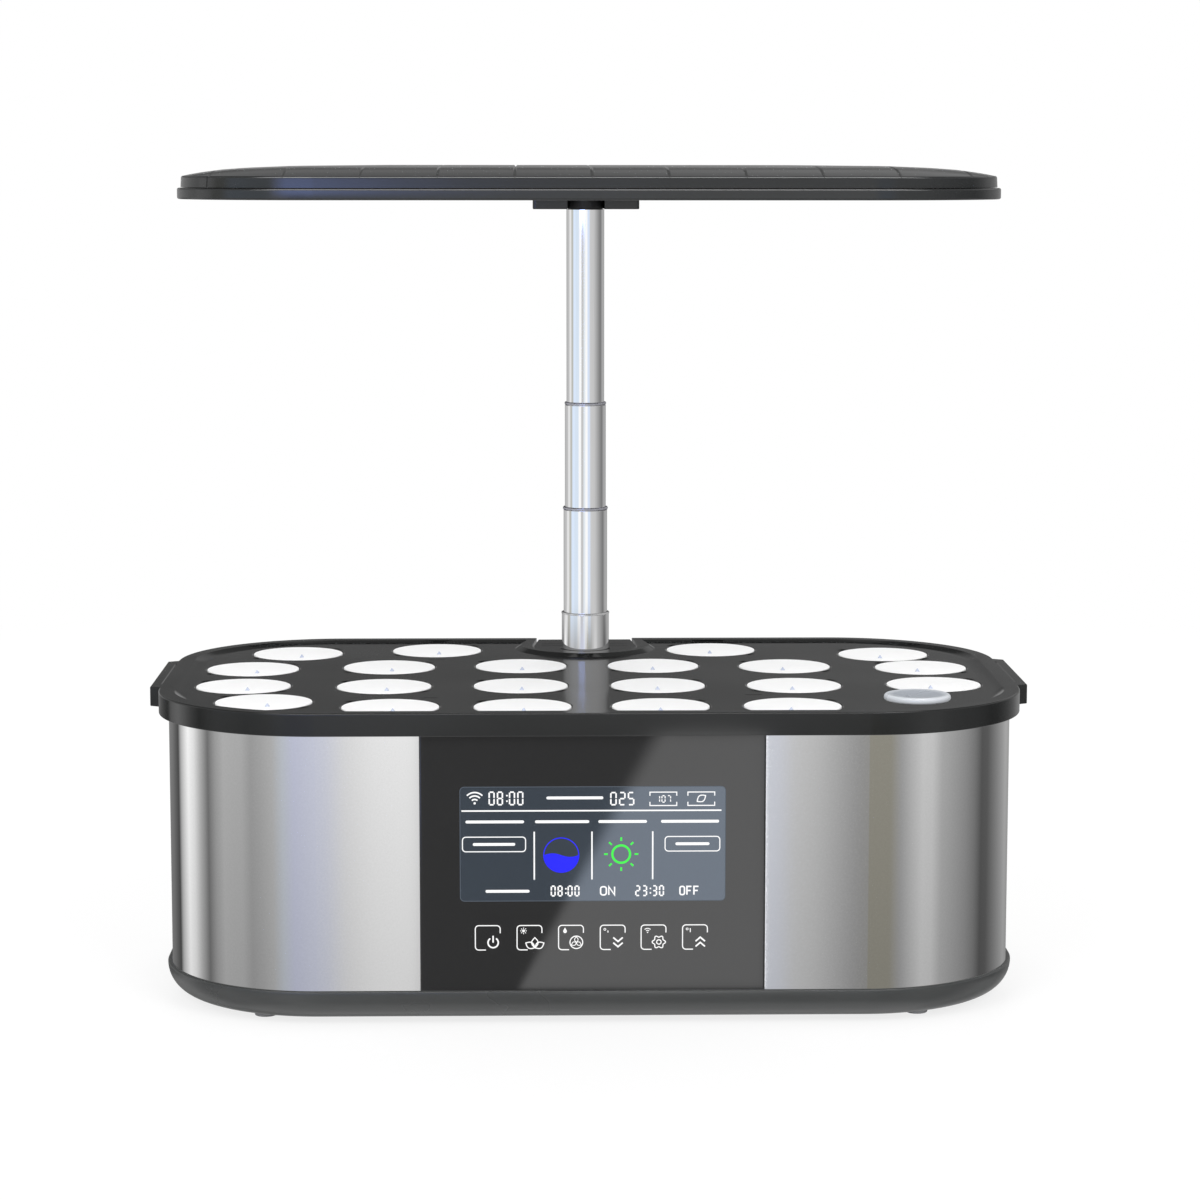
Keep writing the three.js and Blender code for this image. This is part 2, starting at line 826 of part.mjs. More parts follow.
function addPortCap() {
  const profile = [
    [0, -capPlugDepth],
    [capPlugRadius, -capPlugDepth],
    [capPlugRadius, 0],
    [capRadius, 0],
    [capRadius, capHeight - capEdge],
    [capRadius - capEdge, capHeight],
    [0, capHeight],
  ];
  const place = [portX, portY, deckFloorZ + faceGap];
  addPart("water_port_cap", turned(profile, podSides), "frostedCap", place);
}

// Mast: the socket stands on the tray's floor and fills the deck's notch
function addMast() {
  const socketBoreRadius = baseTubeRadius + slideGap;
  const platformOutline = notchOutline(
    platformY,
    platformRadius,
    platformBackHalfWidth,
    bodyHalfDepth,
  );
  const platform = plate(platformOutline, deckUndersideZ, platformTopZ);
  const towerTopZ = (platformTopZ + deckUndersideZ) / 2;
  const tower = rod(socketBoreRadius + towerWall, towerBottomZ, towerTopZ, tubeSides, 0, mastY);
  const boreBottomZ = towerBottomZ + towerFloor;
  const bore = rod(socketBoreRadius, boreBottomZ, platformTopZ + overrun, tubeSides, 0, mastY);
  addPart("pole_socket", cut(joined(platform, tower), bore), "blackPlastic");

  const mast = [0, mastY, 0];
  const baseInner = baseTubeRadius - baseTubeWall;
  const lowerInner = lowerTubeRadius - lowerTubeWall;
  const middleInner = middleTubeRadius - middleTubeWall;
  const upperInner = upperTubeRadius - upperTubeWall;
  const baseTube = tube(baseTubeRadius, baseInner, boreBottomZ + faceGap, baseTubeTopZ);
  addPart("pole_tube_base", baseTube, "polishedSteel", mast);

  const ringSeat = ringHeight + faceGap;
  const stages = [
    ["lower", lowerTubeRadius, lowerInner, lowerTubeTopZ - ringSeat, lowerTubeLength],
    ["middle", middleTubeRadius, middleInner, middleTubeTopZ - ringSeat, middleTubeLength],
    ["upper", upperTubeRadius, upperInner, upperTubeTopZ, upperTubeLength],
  ];
  stages.forEach(([name, outer, inner, topZ, length]) => {
    const bottomZ = topZ - length;
    const bushTopZ = bottomZ - faceGap;
    addPart(`pole_tube_${name}`, tube(outer, inner, bottomZ, topZ), "polishedSteel", mast);
    const bush = tube(outer, inner - bushWall, bushTopZ - bushLength, bushTopZ);
    addPart(`${name}_slide_bush`, bush, "bushPlastic", mast);
  });

  const rings = [
    ["lower", lowerTubeRadius + ringReach, middleTubeRadius + slideGap, lowerTubeTopZ],
    ["middle", middleTubeRadius + middleRingReach, upperTubeRadius + slideGap, middleTubeTopZ],
  ];
  rings.forEach(([name, outer, inner, topZ]) => {
    const ring = tube(outer, inner, topZ - ringHeight, topZ);
    addPart(`${name}_tube_ring`, ring, "polishedSteel", mast);
  });
}

// Lamp head: the mast's head sits in a slotted bracket that is screwed under the lamp
function addLampMount() {
  const plugRadius = upperTubeRadius - upperTubeWall - slideGap;
  const head = turned(
    [
      [0, upperTubeTopZ - headPlugLength],
      [plugRadius, upperTubeTopZ - headPlugLength],
      [plugRadius, bracketBottomZ],
      [headRadius, bracketBottomZ],
      [headRadius, bracketTopZ],
      [0, bracketTopZ],
    ],
    tubeSides,
  );
  addPart("pole_head", head, "blackPlastic", [0, mastY, 0]);

  const slotRadius = headRadius + bracketSlotGap;
  const bracketBlank = block(
    -bracketHalfWidth,
    bracketHalfWidth,
    -bracketHalfDepth,
    bracketHalfDepth,
    bracketBottomZ,
    bracketTopZ,
  );
  const slotLowZ = bracketBottomZ - overrun;
  const slotHighZ = bracketTopZ + overrun;
  const slotRound = rod(slotRadius, slotLowZ, slotHighZ, tubeSides);
  const slotMouth = block(
    -slotRadius,
    slotRadius,
    -bracketHalfDepth - overrun,
    0,
    slotLowZ,
    slotHighZ,
  );
  const headTopZ = bracketBottomZ + screwHeadDrop + screwHeadHeight;
  const screwHoles = [-1, 1].flatMap((side) => [
    screwHole(side * screwSpacing, 0),
    headPocket(side * screwSpacing, headTopZ),
  ]);
  const bracket = cut(bracketBlank, slotRound, slotMouth, ...screwHoles);
  addPart("lamp_bracket", bracket, "blackPlastic", [0, mastY, 0]);

  const screw = turned(
    [
      [0, headTopZ - screwHeadHeight],
      [screwHeadRadius, headTopZ - screwHeadHeight],
      [screwHeadRadius, headTopZ],
      [screwRadius, headTopZ],
      [screwRadius, lampBottomZ + screwBite],
      [0, lampBottomZ + screwBite],
    ],
    smallSides,
  );
  addPart("left_bracket_screw", screw, "polishedSteel", [-screwSpacing, mastY, 0]);
  addPart("right_bracket_screw", screw.clone(), "polishedSteel", [screwSpacing, mastY, 0]);
}

// A pocket in the bracket's underside, so that the screw's head lies below the face
function headPocket(x, headTopZ) {
  const pocketRadius = screwHeadRadius + faceGap;
  return rod(pocketRadius, bracketBottomZ - overrun, headTopZ + faceGap, smallSides, x, 0);
}

function screwHole(x, y) {
  const topZ = lampBottomZ + screwBite + faceGap;
  return rod(screwRadius + faceGap, bracketBottomZ - overrun, topZ, smallSides, x, y);
}

// Lamp: a frame with a clear window and the board of light sources, under a domed shell
function addLamp() {
  const windowFrontY = lampY - lampHalfDepth + windowFrontInset;
  const windowBackY = lampY + lampHalfDepth - windowBackInset;
  const windowOutline = (reach) =>
    roundedOutline(
      lampHalfWidth - windowInset + reach,
      windowFrontY - reach,
      windowBackY + reach,
      windowCornerRadius + reach,
    );
  const ledgeZ = lampBottomZ + windowLedgeThickness;
  const opening = plate(windowOutline(0), lampBottomZ - overrun, lampFrameTopZ + overrun);
  const recess = plate(windowOutline(windowLedge), ledgeZ, lampFrameTopZ + overrun);
  const screwHoles = [-1, 1].map((side) => screwHole(side * screwSpacing, mastY));
  const blank = plate(lampOutline(0), lampBottomZ, lampFrameTopZ);
  addPart("lamp_frame", cut(blank, opening, recess, ...screwHoles), "blackPlastic");

  const windowZ = ledgeZ + faceGap;
  const pane = plate(windowOutline(windowLedge - faceGap), windowZ, windowZ + windowThickness);
  addPart("lamp_window", pane, "clearPlastic");
  const boardZ = windowZ + windowThickness + faceGap;
  const board = plate(
    windowOutline(windowLedge - ledBoardInset),
    boardZ,
    boardZ + ledBoardThickness,
  );
  addPart("led_board", board, "lampBoard");

  const domeTop = (share) => lampShellWallTopZ + share * domeRise;
  const ceiling = ceilingShares.map(([insetShare, riseShare]) => [
    lampOutline(lampShellInset + lampShellThickness + insetShare * domeRun),
    domeTop(riseShare) - lampShellThickness,
  ]);
  const dome = domeShares.map(([insetShare, riseShare]) => [
    lampOutline(lampShellInset + insetShare * domeRun),
    domeTop(riseShare),
  ]);
  const shell = loft([
    ...ceiling.reverse(),
    [lampOutline(lampShellInset + lampShellThickness), lampShellWallTopZ - lampShellThickness],
    [lampOutline(lampShellInset + lampShellThickness), lampShellBottomZ],
    [lampOutline(lampShellInset), lampShellBottomZ],
    [lampOutline(lampShellInset), lampShellWallTopZ],
    ...dome,
  ]);
  addPart("lamp_shell", shell, "blackPlastic");
}

// Pump: stands on the tank's floor, its rotor turning about Y on a fixed pin
function addPump() {
  const [pumpX, pumpY] = placeOf(pumpPlaceShares);
  const pumpZ = tankFloorZ + faceGap;
  const frontY = -pumpDepth / 2;
  const rotorZ = pumpHeight / 2;
  const halfWidth = pumpWidth / 2;
  const shell = block(-halfWidth, halfWidth, frontY, pumpDepth / 2, 0, pumpHeight);
  const cavity = rodAlongDepth(
    rotorBoreRadius,
    frontY - overrun,
    frontY + rotorBoreDepth,
    tubeSides,
    0,
    rotorZ,
  );
  const throat = rod(outletRadius - outletWall, rotorZ, pumpHeight + overrun, smallSides);
  throat.translate(0, frontY + rotorBoreDepth / 2, 0);
  const pinRoot = frontY + rotorBoreDepth + overrun;
  const pin = rodAlongDepth(rotorPinRadius, frontY, pinRoot, smallSides, 0, rotorZ);
  const place = [pumpX, pumpY, pumpZ];
  addPart("pump_housing", joined(cut(shell, cavity, throat), pin), "blackPlastic", place);

  const hubFrontY = frontY + impellerEndGap;
  const hubBackY = hubFrontY + impellerLength;
  const hub = rodAlongDepth(impellerHubRadius, hubFrontY, hubBackY, smallSides, 0, 0);
  const blades = Array.from({ length: impellerBlades }, (_, index) => {
    const blade = block(
      0,
      impellerRadius,
      hubFrontY,
      hubBackY,
      -impellerBladeThickness / 2,
      impellerBladeThickness / 2,
    );
    return blade.rotateY((index / impellerBlades) * fullTurn);
  });
  const boreRadius = rotorPinRadius + impellerBoreGap;
  const bore = rodAlongDepth(
    boreRadius,
    hubFrontY - overrun,
    hubBackY + overrun,
    smallSides,
    0,
    0,
  );
  const impeller = cut(joined(hub, ...blades), bore);
  addPart("pump_impeller", impeller, "bushPlastic", [pumpX, pumpY, pumpZ + rotorZ]);

  const coverReach = rotorBoreRadius + pumpCoverMargin - faceGap;
  const coverBack = frontY - faceGap;
  const cover = block(
    -halfWidth,
    halfWidth,
    coverBack - pumpCoverThickness,
    coverBack,
    rotorZ - Math.min(coverReach, rotorZ),
    rotorZ + Math.min(coverReach, rotorZ),
  );
  const slots = [-1, 0, 1].map((step) =>
    block(
      -coverSlotHalfLength,
      coverSlotHalfLength,
      coverBack - pumpCoverThickness - overrun,
      coverBack + overrun,
      rotorZ + step * coverSlotPitch - coverSlotWidth / 2,
      rotorZ + step * coverSlotPitch + coverSlotWidth / 2,
    ),
  );
  addPart("pump_cover", cut(cover, ...slots), "blackPlastic", place);

  const outletZ = pumpHeight + faceGap;
  const outletTopZ = deckUndersideZ - outletDeckGap - pumpZ;
  const outlet = tube(outletRadius, outletRadius - outletWall, outletZ, outletTopZ);
  const outletPlace = [pumpX, pumpY + frontY + rotorBoreDepth / 2, pumpZ];
  addPart("pump_outlet", outlet, "clearPlastic", outletPlace);
}

// Level sensor: a float that rides up a stem on the tank's floor
function addLevelSensor() {
  const [x, y] = placeOf(floatPlaceShares);
  const footZ = tankFloorZ + faceGap;
  const stemHeight = deckUndersideZ - stemDeckGap - footZ;
  const stem = turned(
    [
      [0, 0],
      [stemFootRadius, 0],
      [stemFootRadius, stemFootHeight],
      [stemRadius, stemFootHeight],
      [stemRadius, stemHeight],
      [0, stemHeight],
    ],
    podSides,
  );
  const place = [x, y, footZ];
  addPart("float_stem", stem, "bushPlastic", place);
  const floatZ = stemFootHeight + faceGap;
  const ring = tube(floatRadius, stemRadius + floatGap, floatZ, floatZ + floatHeight);
  addPart("level_float", ring, "whitePlastic", place);
}

addBase();
addBandAndPanel();
addTank();
addDeck();
addPods();
addPortCap();
addMast();
addLampMount();
addLamp();
addPump();
addLevelSensor();

export default garden;
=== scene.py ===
"""Looks of a countertop hydroponic garden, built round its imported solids.

Metres, +Z up, front towards -Y. The origin lies on the surface that the feet stand on, under the
centre of the body. Shapes are (vertices, faces) pairs until they become pieces.
"""

import json
import math

import bpy
from mathutils import Matrix, Vector

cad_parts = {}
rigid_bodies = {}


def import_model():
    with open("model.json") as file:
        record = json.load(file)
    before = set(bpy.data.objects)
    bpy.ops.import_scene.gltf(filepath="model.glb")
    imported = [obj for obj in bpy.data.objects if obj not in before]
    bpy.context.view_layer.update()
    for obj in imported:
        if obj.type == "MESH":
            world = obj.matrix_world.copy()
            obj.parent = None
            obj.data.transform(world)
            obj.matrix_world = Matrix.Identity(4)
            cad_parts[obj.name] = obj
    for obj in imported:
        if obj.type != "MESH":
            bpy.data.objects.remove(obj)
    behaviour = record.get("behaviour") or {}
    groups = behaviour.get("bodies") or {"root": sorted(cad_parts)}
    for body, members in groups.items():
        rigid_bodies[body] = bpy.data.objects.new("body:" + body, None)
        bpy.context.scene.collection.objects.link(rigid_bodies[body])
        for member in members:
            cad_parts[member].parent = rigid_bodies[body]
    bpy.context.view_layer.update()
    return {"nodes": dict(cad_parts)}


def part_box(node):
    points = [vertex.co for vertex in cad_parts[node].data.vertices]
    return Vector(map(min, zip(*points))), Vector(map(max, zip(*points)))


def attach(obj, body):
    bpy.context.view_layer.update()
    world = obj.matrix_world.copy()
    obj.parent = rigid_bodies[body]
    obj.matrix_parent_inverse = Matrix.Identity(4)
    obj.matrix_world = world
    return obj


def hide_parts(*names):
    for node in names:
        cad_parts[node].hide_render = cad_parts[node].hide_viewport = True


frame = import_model()

MM = 0.001

# Facets
CORNER_STEPS = 48
ROUND_STEPS = 96
CUP_STEPS = 64
SMALL_STEPS = 48
SCREW_STEPS = 32
EASE_STEPS = 4
ARC_STEPS = 8
RIM_STEPS = 6
FINE_STEPS = 2
OVERRUN = 2 * MM
SMOOTH_ANGLE = 30
MITRE_LIMIT = 0.3
STROKE_MITRE_LIMIT = 0.4

# Body
BAND_LOW, BAND_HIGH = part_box("steel_band")
PANEL_LOW, PANEL_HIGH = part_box("front_panel")
BODY_HALF_WIDTH = BAND_HIGH.x
BODY_HALF_DEPTH = BAND_HIGH.y
BODY_CORNER = 78.2 * MM
BAND_THICKNESS = 0.9 * MM
BAND_EASE = 0.2 * MM
PANEL_GAP = 0.3 * MM

# Tray
TRAY_LOW, TRAY_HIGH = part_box("base_tray")
TRAY_LIP = 2.3 * MM
TRAY_INSET = 12 * MM
TRAY_BAND_GAP = 0.3 * MM
TRAY_CURVE_STEPS = 20
TRAY_FLOOR_RISE = 2.5 * MM
TRAY_FLOOR_INSET = 16 * MM
TRAY_EASE = 0.9 * MM
FOOT_EASE = 0.6 * MM

# Deck
DECK_LOW, DECK_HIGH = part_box("planting_deck")
RIM_OVERHANG = DECK_HIGH.y - BODY_HALF_DEPTH
RIM_WIDTH = 7.6 * MM
RIM_TOP = DECK_HIGH.z
RIM_BOTTOM = DECK_LOW.z
RIM_EASE = 0.9 * MM
SKIRT_THICKNESS = 2.4 * MM
SKIRT_EASE = 0.5 * MM
SLOPE_AT_ENDS = 7.5 * MM
SLOPE_AT_FRONT = 1.3 * MM
SLOPE_STEPS = 8
DECK_FLOOR_CORNER = 66 * MM
DECK_FLOOR = RIM_TOP - 2.2 * MM
DECK_UNDERSIDE = DECK_FLOOR - 3.4 * MM
HANDLE_ROOT = 0.7
HANDLE_HALF_LENGTH = 43 * MM
HANDLE_SLANT = 6 * MM
HANDLE_HEIGHT = 10 * MM
HANDLE_TIP = DECK_HIGH.x
HANDLE_EASE = 0.5 * MM
HANDLE_DROP = 0.02 * MM
PORT_RADIUS = 13.9 * MM
SEAM_WIDTH = 0.9 * MM
SEAM_DEPTH = 0.7 * MM
SEAM_HALF_LENGTH = 35 * MM
SEAM_INSET = 5.2 * MM

# Pods
POD_NAMES = sorted(n for n in frame["nodes"] if n.startswith("pod_"))
LID_RADIUS = 24 * MM
LID_THICKNESS = 1.6 * MM
LID_EASE = 0.35 * MM
LID_GAP = 0.8 * MM
SEAT_FLOOR = DECK_FLOOR - 1.7 * MM
SEAT_RADIUS = LID_RADIUS + LID_GAP
SEAT_MOUTH = 0.2 * MM
CUP_TOP_RADIUS = 20.3 * MM
CUP_BOTTOM_RADIUS = 14.5 * MM
CUP_DEPTH = 43 * MM
CUP_SLOPE = (CUP_TOP_RADIUS - CUP_BOTTOM_RADIUS) / CUP_DEPTH
CUP_GAP = 1.1 * MM
CUP_RIBS = 16
CUP_RINGS = 4
CUP_WALL = 1.2 * MM
CUP_BAND = 5 * MM
RIB_INSET = 0.1 * MM
RIB_THICKNESS = CUP_WALL * 0.7
RING_HEIGHT = CUP_WALL * 1.5
PLUG_GAP = CUP_WALL + 0.5 * MM
PLUG_TAPER = 0.8 * MM
PLUG_EASE = 2 * MM
PLUG_DROP = 1 * MM
NUB_HALF_WIDTH = 1.1 * MM
NUB_HEIGHT = 1.5 * MM
NUB_REACH = 14.5 * MM
NUB_LEAN = 0.018
NUB_TAPER = 0.15
NUB_BACK = 0.2
NOTCH_LENGTH = 5.2 * MM
NOTCH_NEAR = 0.3 * MM
NOTCH_FAR = 3.6 * MM
NOTCH_CLEARANCE = 0.8 * MM
NOTCH_DEPTH = 1.4 * MM
NOTCH_TURN = 40
NOTCH_MIDDLE = 43 * MM
NOTCH_STEP = 0.2 * MM
DASH_LENGTH = 9 * MM
DASH_WIDTH = 1.6 * MM
DASH_PLACES = ((81.7 * MM, -60.7 * MM), (-80.6 * MM, -68.0 * MM), (-80.6 * MM, 62.0 * MM))

# Water port cap
CAP_THICKNESS = 3.1 * MM
CAP_FOOT = 1.1 * MM
CAP_BROW = 1.6 * MM
CAP_DISH = 0.9 * MM
CAP_DISH_STEPS = 12
CAP_PLUG_RADIUS = 13.4 * MM
CAP_PLUG_EASE = 0.8 * MM
# Painted highlight: a paler colour painted towards the cap's rim, standing in for its bright rim
# line.
CAP_RIM_HIGHLIGHT = (0.66, 0.69, 0.73, 1)
CAP_RIM_HIGHLIGHT_SPAN = (0.7, 0.95)

# Mast
MAST_LOW, MAST_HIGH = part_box("pole_tube_base")
MAST_Y = (MAST_LOW.y + MAST_HIGH.y) / 2
PLATFORM_LOW, PLATFORM_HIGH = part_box("pole_socket")
PLATFORM_RADIUS = PLATFORM_HIGH.x
PLATFORM_Y = 100 * MM
PLATFORM_BACK_HALF_WIDTH = 25.5 * MM
PLATFORM_THICKNESS = PLATFORM_HIGH.z - DECK_UNDERSIDE
PLATFORM_EASE = 0.4 * MM
PLATFORM_GAP = 0.8 * MM
TOWER_WALL = 2.2 * MM
TOWER_FLOOR = 3 * MM
PLATE_LINES = (101 * MM, 109 * MM)
PLATE_LINE_WIDTH = 0.7 * MM
RIDGE_RADIUS = PLATFORM_RADIUS + 10 * MM
RIDGE_Y = PLATFORM_Y + 5.5 * MM
RIDGE_BACK_HALF_WIDTH = 34 * MM
RIDGE_SLOPE = 3.2 * MM
RIDGE_EASE = 0.3 * MM
RIDGE_DROP = 0.03 * MM
MAST_GAP = 0.3 * MM
TUBE_WALL = 0.6 * MM
LOWER_TUBE_WALL = 0.45 * MM
TUBE_EASE = 0.15 * MM
RING_ARC = (-75, 75)
RING_FOOT_INSET = 0.2 * MM
RING_TOP_INSET = 0.3 * MM
COLLAR_WALL = 0.95 * MM
COLLAR_LIP = 1.1 * MM
COLLAR_SHRINK = 0.25 * MM
COLLAR_ARC = (-60, 90)
COLLAR_TEETH = 60
TOOTH_GAP = 0.12 * MM
TOOTH_ROOT = 0.1 * MM
TOOTH_HALF_WIDTH = 0.3 * MM
TOOTH_FOOT = 4.2 * MM
TOOTH_DROP = 0.3 * MM

# Lamp
LAMP_LOW, LAMP_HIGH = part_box("lamp_frame")
SHELL_LOW, SHELL_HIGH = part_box("lamp_shell")
LAMP_Y = (LAMP_LOW.y + LAMP_HIGH.y) / 2
LAMP_HALF_WIDTH = LAMP_HIGH.x - 0.7 * MM
LAMP_HALF_DEPTH = (LAMP_HIGH.y - LAMP_LOW.y) / 2
LAMP_CORNER = 72 * MM
LAMP_EASE = 0.9 * MM
SHELL_INSET = LAMP_HIGH.x - SHELL_HIGH.x
SHELL_CORNER = LAMP_CORNER - SHELL_INSET
SHELL_DRAFT = 0.25 * MM
SHELL_EDGE = 1.0 * MM
SHELL_WALL = 5.6 * MM
DOME_RUN = 100 * MM
DOME_RISE = SHELL_HIGH.z - SHELL_LOW.z - SHELL_WALL
DOME_STEPS = 20
DOME_SPACING = 1.8
SHELL_EDGE_TURN = 84
TILE_WIDTH = 37 * MM
TILE_COLUMNS = range(-5, 6)
TILE_ROWS = (-78 * MM, -26 * MM, 26 * MM, 78 * MM)
GROOVE_WIDTH = 1.5 * MM
GROOVE_DEPTH = 0.9 * MM
GROOVE_STEPS = 60
GROOVE_ANGLE = 24
LAMP_SEAM_WIDTH = 0.6 * MM
WINDOW_LEDGE = 4 * MM
WINDOW_CORNER = 50 * MM
WINDOW_GAP = 0.3 * MM
PANE_EASE = 0.3 * MM
RIM_FLOOR = 1.5 * MM
BOARD_CORNER = WINDOW_CORNER + 3 * MM
BOARD_EASE = 0.2 * MM
CHIP_ROWS = 6
CHIP_COLUMNS = 18
CHIP_HALF = 1.4 * MM
CHIP_PROUD = 0.25 * MM
CHIP_MARGIN = 4 * MM
BRACKET_CORNER = 1.5 * MM
BRACKET_EASE = 0.5 * MM
SCREWS = ("left_bracket_screw", "right_bracket_screw")
SCREW_SHANK = 1.6 * MM
SCREW_BORE = 1.9 * MM
SCREW_EASE = 0.5 * MM
SCREW_SOCKET = (0.9 * MM, 1.1 * MM)
SCREW_TIP = 0.6 * MM
HEAD_HEIGHT = 1.6 * MM
HEAD_GAP = 0.3 * MM
HEAD_POCKET = 3.7 * MM
HEAD_EASE = 0.4 * MM
HEAD_PLUG_EASE = 0.5 * MM
HEAD_SLOT_GAP = 0.35 * MM

# Camera
CAMERA_PLACE = (-30.27 * MM, -1729.86 * MM, 417.9 * MM)
CAMERA_TURN = (82.611, -0.029, -1.1995)
CAMERA_LENS = 101.04
SENSOR_WIDTH = 36


def arc_points(centre, radius, start, end, steps=EASE_STEPS):
    """Points of an arc, with its angles in degrees."""
    turns = (math.radians(start + (end - start) * step / steps) for step in range(steps + 1))
    return [(centre[0] + radius * math.cos(t), centre[1] + radius * math.sin(t)) for t in turns]


def foot_edge(side, foot, ease, steps=EASE_STEPS):
    """A profile's rounded edge, from its foot to its side."""
    return arc_points((side - ease, foot + ease), ease, -90, 0, steps)


def top_edge(side, top, ease, steps=EASE_STEPS):
    """A profile's rounded edge, from its side to its top."""
    return arc_points((side - ease, top - ease), ease, 0, 90, steps)


def circle(radius, steps=ROUND_STEPS, centre=(0, 0)):
    return arc_points(centre, radius, 0, 360, steps)[:-1]


def outline(half_width, front, back, radius, steps=CORNER_STEPS):
    """Points of a rectangle with round corners, counter-clockwise seen from above."""
    right, left = half_width - radius, radius - half_width
    low, high = front + radius, back - radius
    points = []
    for index, centre in enumerate(((right, low), (right, high), (left, high), (left, low))):
        points += arc_points(centre, radius, 90 * index - 90, 90 * index, steps)
    return points


def body_outline(reach):
    """The body's outline, this far out from the band."""
    half_depth = BODY_HALF_DEPTH + reach
    return outline(BODY_HALF_WIDTH + reach, -half_depth, half_depth, BODY_CORNER + reach)


def lamp_outline(inset_by):
    front, back = span(LAMP_Y, LAMP_HALF_DEPTH - inset_by)
    return outline(LAMP_HALF_WIDTH - inset_by, front, back, max(LAMP_CORNER - inset_by, OVERRUN))


def notch_outline(centre_y, radius, back_half_width, back):
    """A half-round front with sides that run straight to the back."""
    front = arc_points((0, centre_y), radius, -180, 0, CORNER_STEPS)
    return front + [(back_half_width, back), (-back_half_width, back)]


def span(middle, half):
    return middle - half, middle + half


def rectangle(x_range, y_range):
    (left, right), (front, back) = x_range, y_range
    return [(left, front), (right, front), (right, back), (left, back)]


def centre_of(node):
    low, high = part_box(node)
    return (low.x + high.x) / 2, (low.y + high.y) / 2


def radius_of(node):
    low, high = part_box(node)
    return (high.x - low.x) / 2


def raised(points, height):
    return [(x, y, height) for x, y in points]


def between(first, second, share):
    return [tuple(a + (b - a) * share for a, b in zip(p, q)) for p, q in zip(first, second)]


def directions(before, here, after):
    """Unit vectors into and out of a point of a path."""
    return [(Vector(b) - Vector(a)).normalized() for a, b in ((before, here), (here, after))]


def inset(points, distance):
    """A counter-clockwise outline drawn in on all sides."""
    moved = []
    for before, here, after in zip(points[-1:] + points[:-1], points, points[1:] + points[:1]):
        into, out = directions(before, here, after)
        normal = Vector((-into.y - out.y, into.x + out.x))
        reach = distance / max(normal.length_squared / 2, MITRE_LIMIT)
        moved.append((here[0] + normal.x * reach, here[1] + normal.y * reach))
    return moved


def loft(levels, closed=False):
    """Walls through loops of equal count, listed up the outside, over the top and down the inside."""
    count = len(levels[0])
    vertices = [point for level in levels for point in level]
    faces = []
    for level in range(len(levels) if closed else len(levels) - 1):
        here, there = level * count, (level + 1) % len(levels) * count
        for point in range(count):
            after = (point + 1) % count
            faces.append((here + point, here + after, there + after, there + point))
    if not closed:
        faces.append(tuple(reversed(range(count))))
        faces.append(tuple(range(len(vertices) - count, len(vertices))))
    return vertices, faces


def slab(points, low, high, ease=0.0):
    """A plate with this outline and rounded edges."""
    if not ease:
        return loft([raised(points, low), raised(points, high)])
    profile = foot_edge(0, low, ease) + top_edge(0, high, ease)
    return loft([raised(inset(points, -reach), z) for reach, z in profile])


def block(x_range, y_range, z_range):
    return slab(rectangle(x_range, y_range), *z_range)


def lathe(profile, steps=ROUND_STEPS, centre=(0, 0), closed=False):
    """(radius, height) pairs turned about Z, listed from the bottom axis up the outside."""
    vertices, faces, rings = [], [], []
    for radius, height in profile:
        if radius <= 0:
            rings.append([len(vertices)] * steps)
            vertices.append((*centre, height))
        else:
            rings.append(list(range(len(vertices), len(vertices) + steps)))
            vertices.extend(raised(circle(radius, steps, centre), height))
    pairs = list(zip(rings, rings[1:]))
    if closed:
        pairs.append((rings[-1], rings[0]))
    for lower, upper in pairs:
        for step in range(steps):
            after = (step + 1) % steps
            corners = (lower[step], lower[after], upper[after], upper[step])
            faces.append(tuple(dict.fromkeys(corners)))
    return vertices, faces


def mast_lathe(profile, closed=False, steps=ROUND_STEPS):
    return lathe(profile, steps, (0, MAST_Y), closed)


def ribbon(path, width, low, high, closed=False):
    """A flat stroke of this width along a path, from low to high."""
    levels = []
    for index, here in enumerate(path):
        before = path[index - 1] if index or closed else here
        after = path[(index + 1) % len(path)] if index < len(path) - 1 or closed else here
        into, out = directions(before, here, after)
        normal = Vector((-into.y - out.y, into.x + out.x)).normalized()
        edge = out if out.length else into
        mitre = max(abs(normal.dot(Vector((-edge.y, edge.x)))), STROKE_MITRE_LIMIT)
        reach = width / 2 / mitre
        left = (here[0] + normal.x * reach, here[1] + normal.y * reach)
        right = (here[0] - normal.x * reach, here[1] - normal.y * reach)
        levels.append([(*right, low), (*right, high), (*left, high), (*left, low)])
    return loft(levels, closed)


def placed(shape, matrix):
    vertices, faces = shape
    return [tuple(matrix @ Vector(v)) for v in vertices], faces


def turn_at(degrees, place=(0, 0)):
    """A turn about Z, followed by a move to a place."""
    return Matrix.Translation((*place, 0)) @ Matrix.Rotation(math.radians(degrees), 4, "Z")


def facing_front(shape, scale=1.0, lift=0.0):
    """Stands a flat shape up on the panel's face: its plane becomes XZ, its height points out."""
    vertices, faces = shape
    face = PANEL_LOW.y
    return [(u * scale, face - w * scale, lift + v * scale) for u, v, w in vertices], faces


def merged(*shapes):
    vertices, faces = [], []
    for shape_vertices, shape_faces in shapes:
        start = len(vertices)
        vertices.extend(shape_vertices)
        faces.extend(tuple(start + corner for corner in face) for face in shape_faces)
    return vertices, faces


def mesh_from(name, shape):
    mesh = bpy.data.meshes.new(name)
    mesh.from_pydata(shape[0], [], shape[1])
    mesh.update()
    return mesh


def new_object(name, data):
    thing = bpy.data.objects.new(name, data)
    bpy.context.scene.collection.objects.link(thing)
    return thing


def modified(mesh, kind, **settings):
    """The mesh after one modifier."""
    holder = new_object("holder", mesh)
    modifier = holder.modifiers.new("step", kind)
    for name, value in settings.items():
        setattr(modifier, name, value)
    graph = bpy.context.evaluated_depsgraph_get()
    result = bpy.data.meshes.new_from_object(
        holder.evaluated_get(graph), preserve_all_data_layers=True, depsgraph=graph
    )
    bpy.data.objects.remove(holder)
    return result


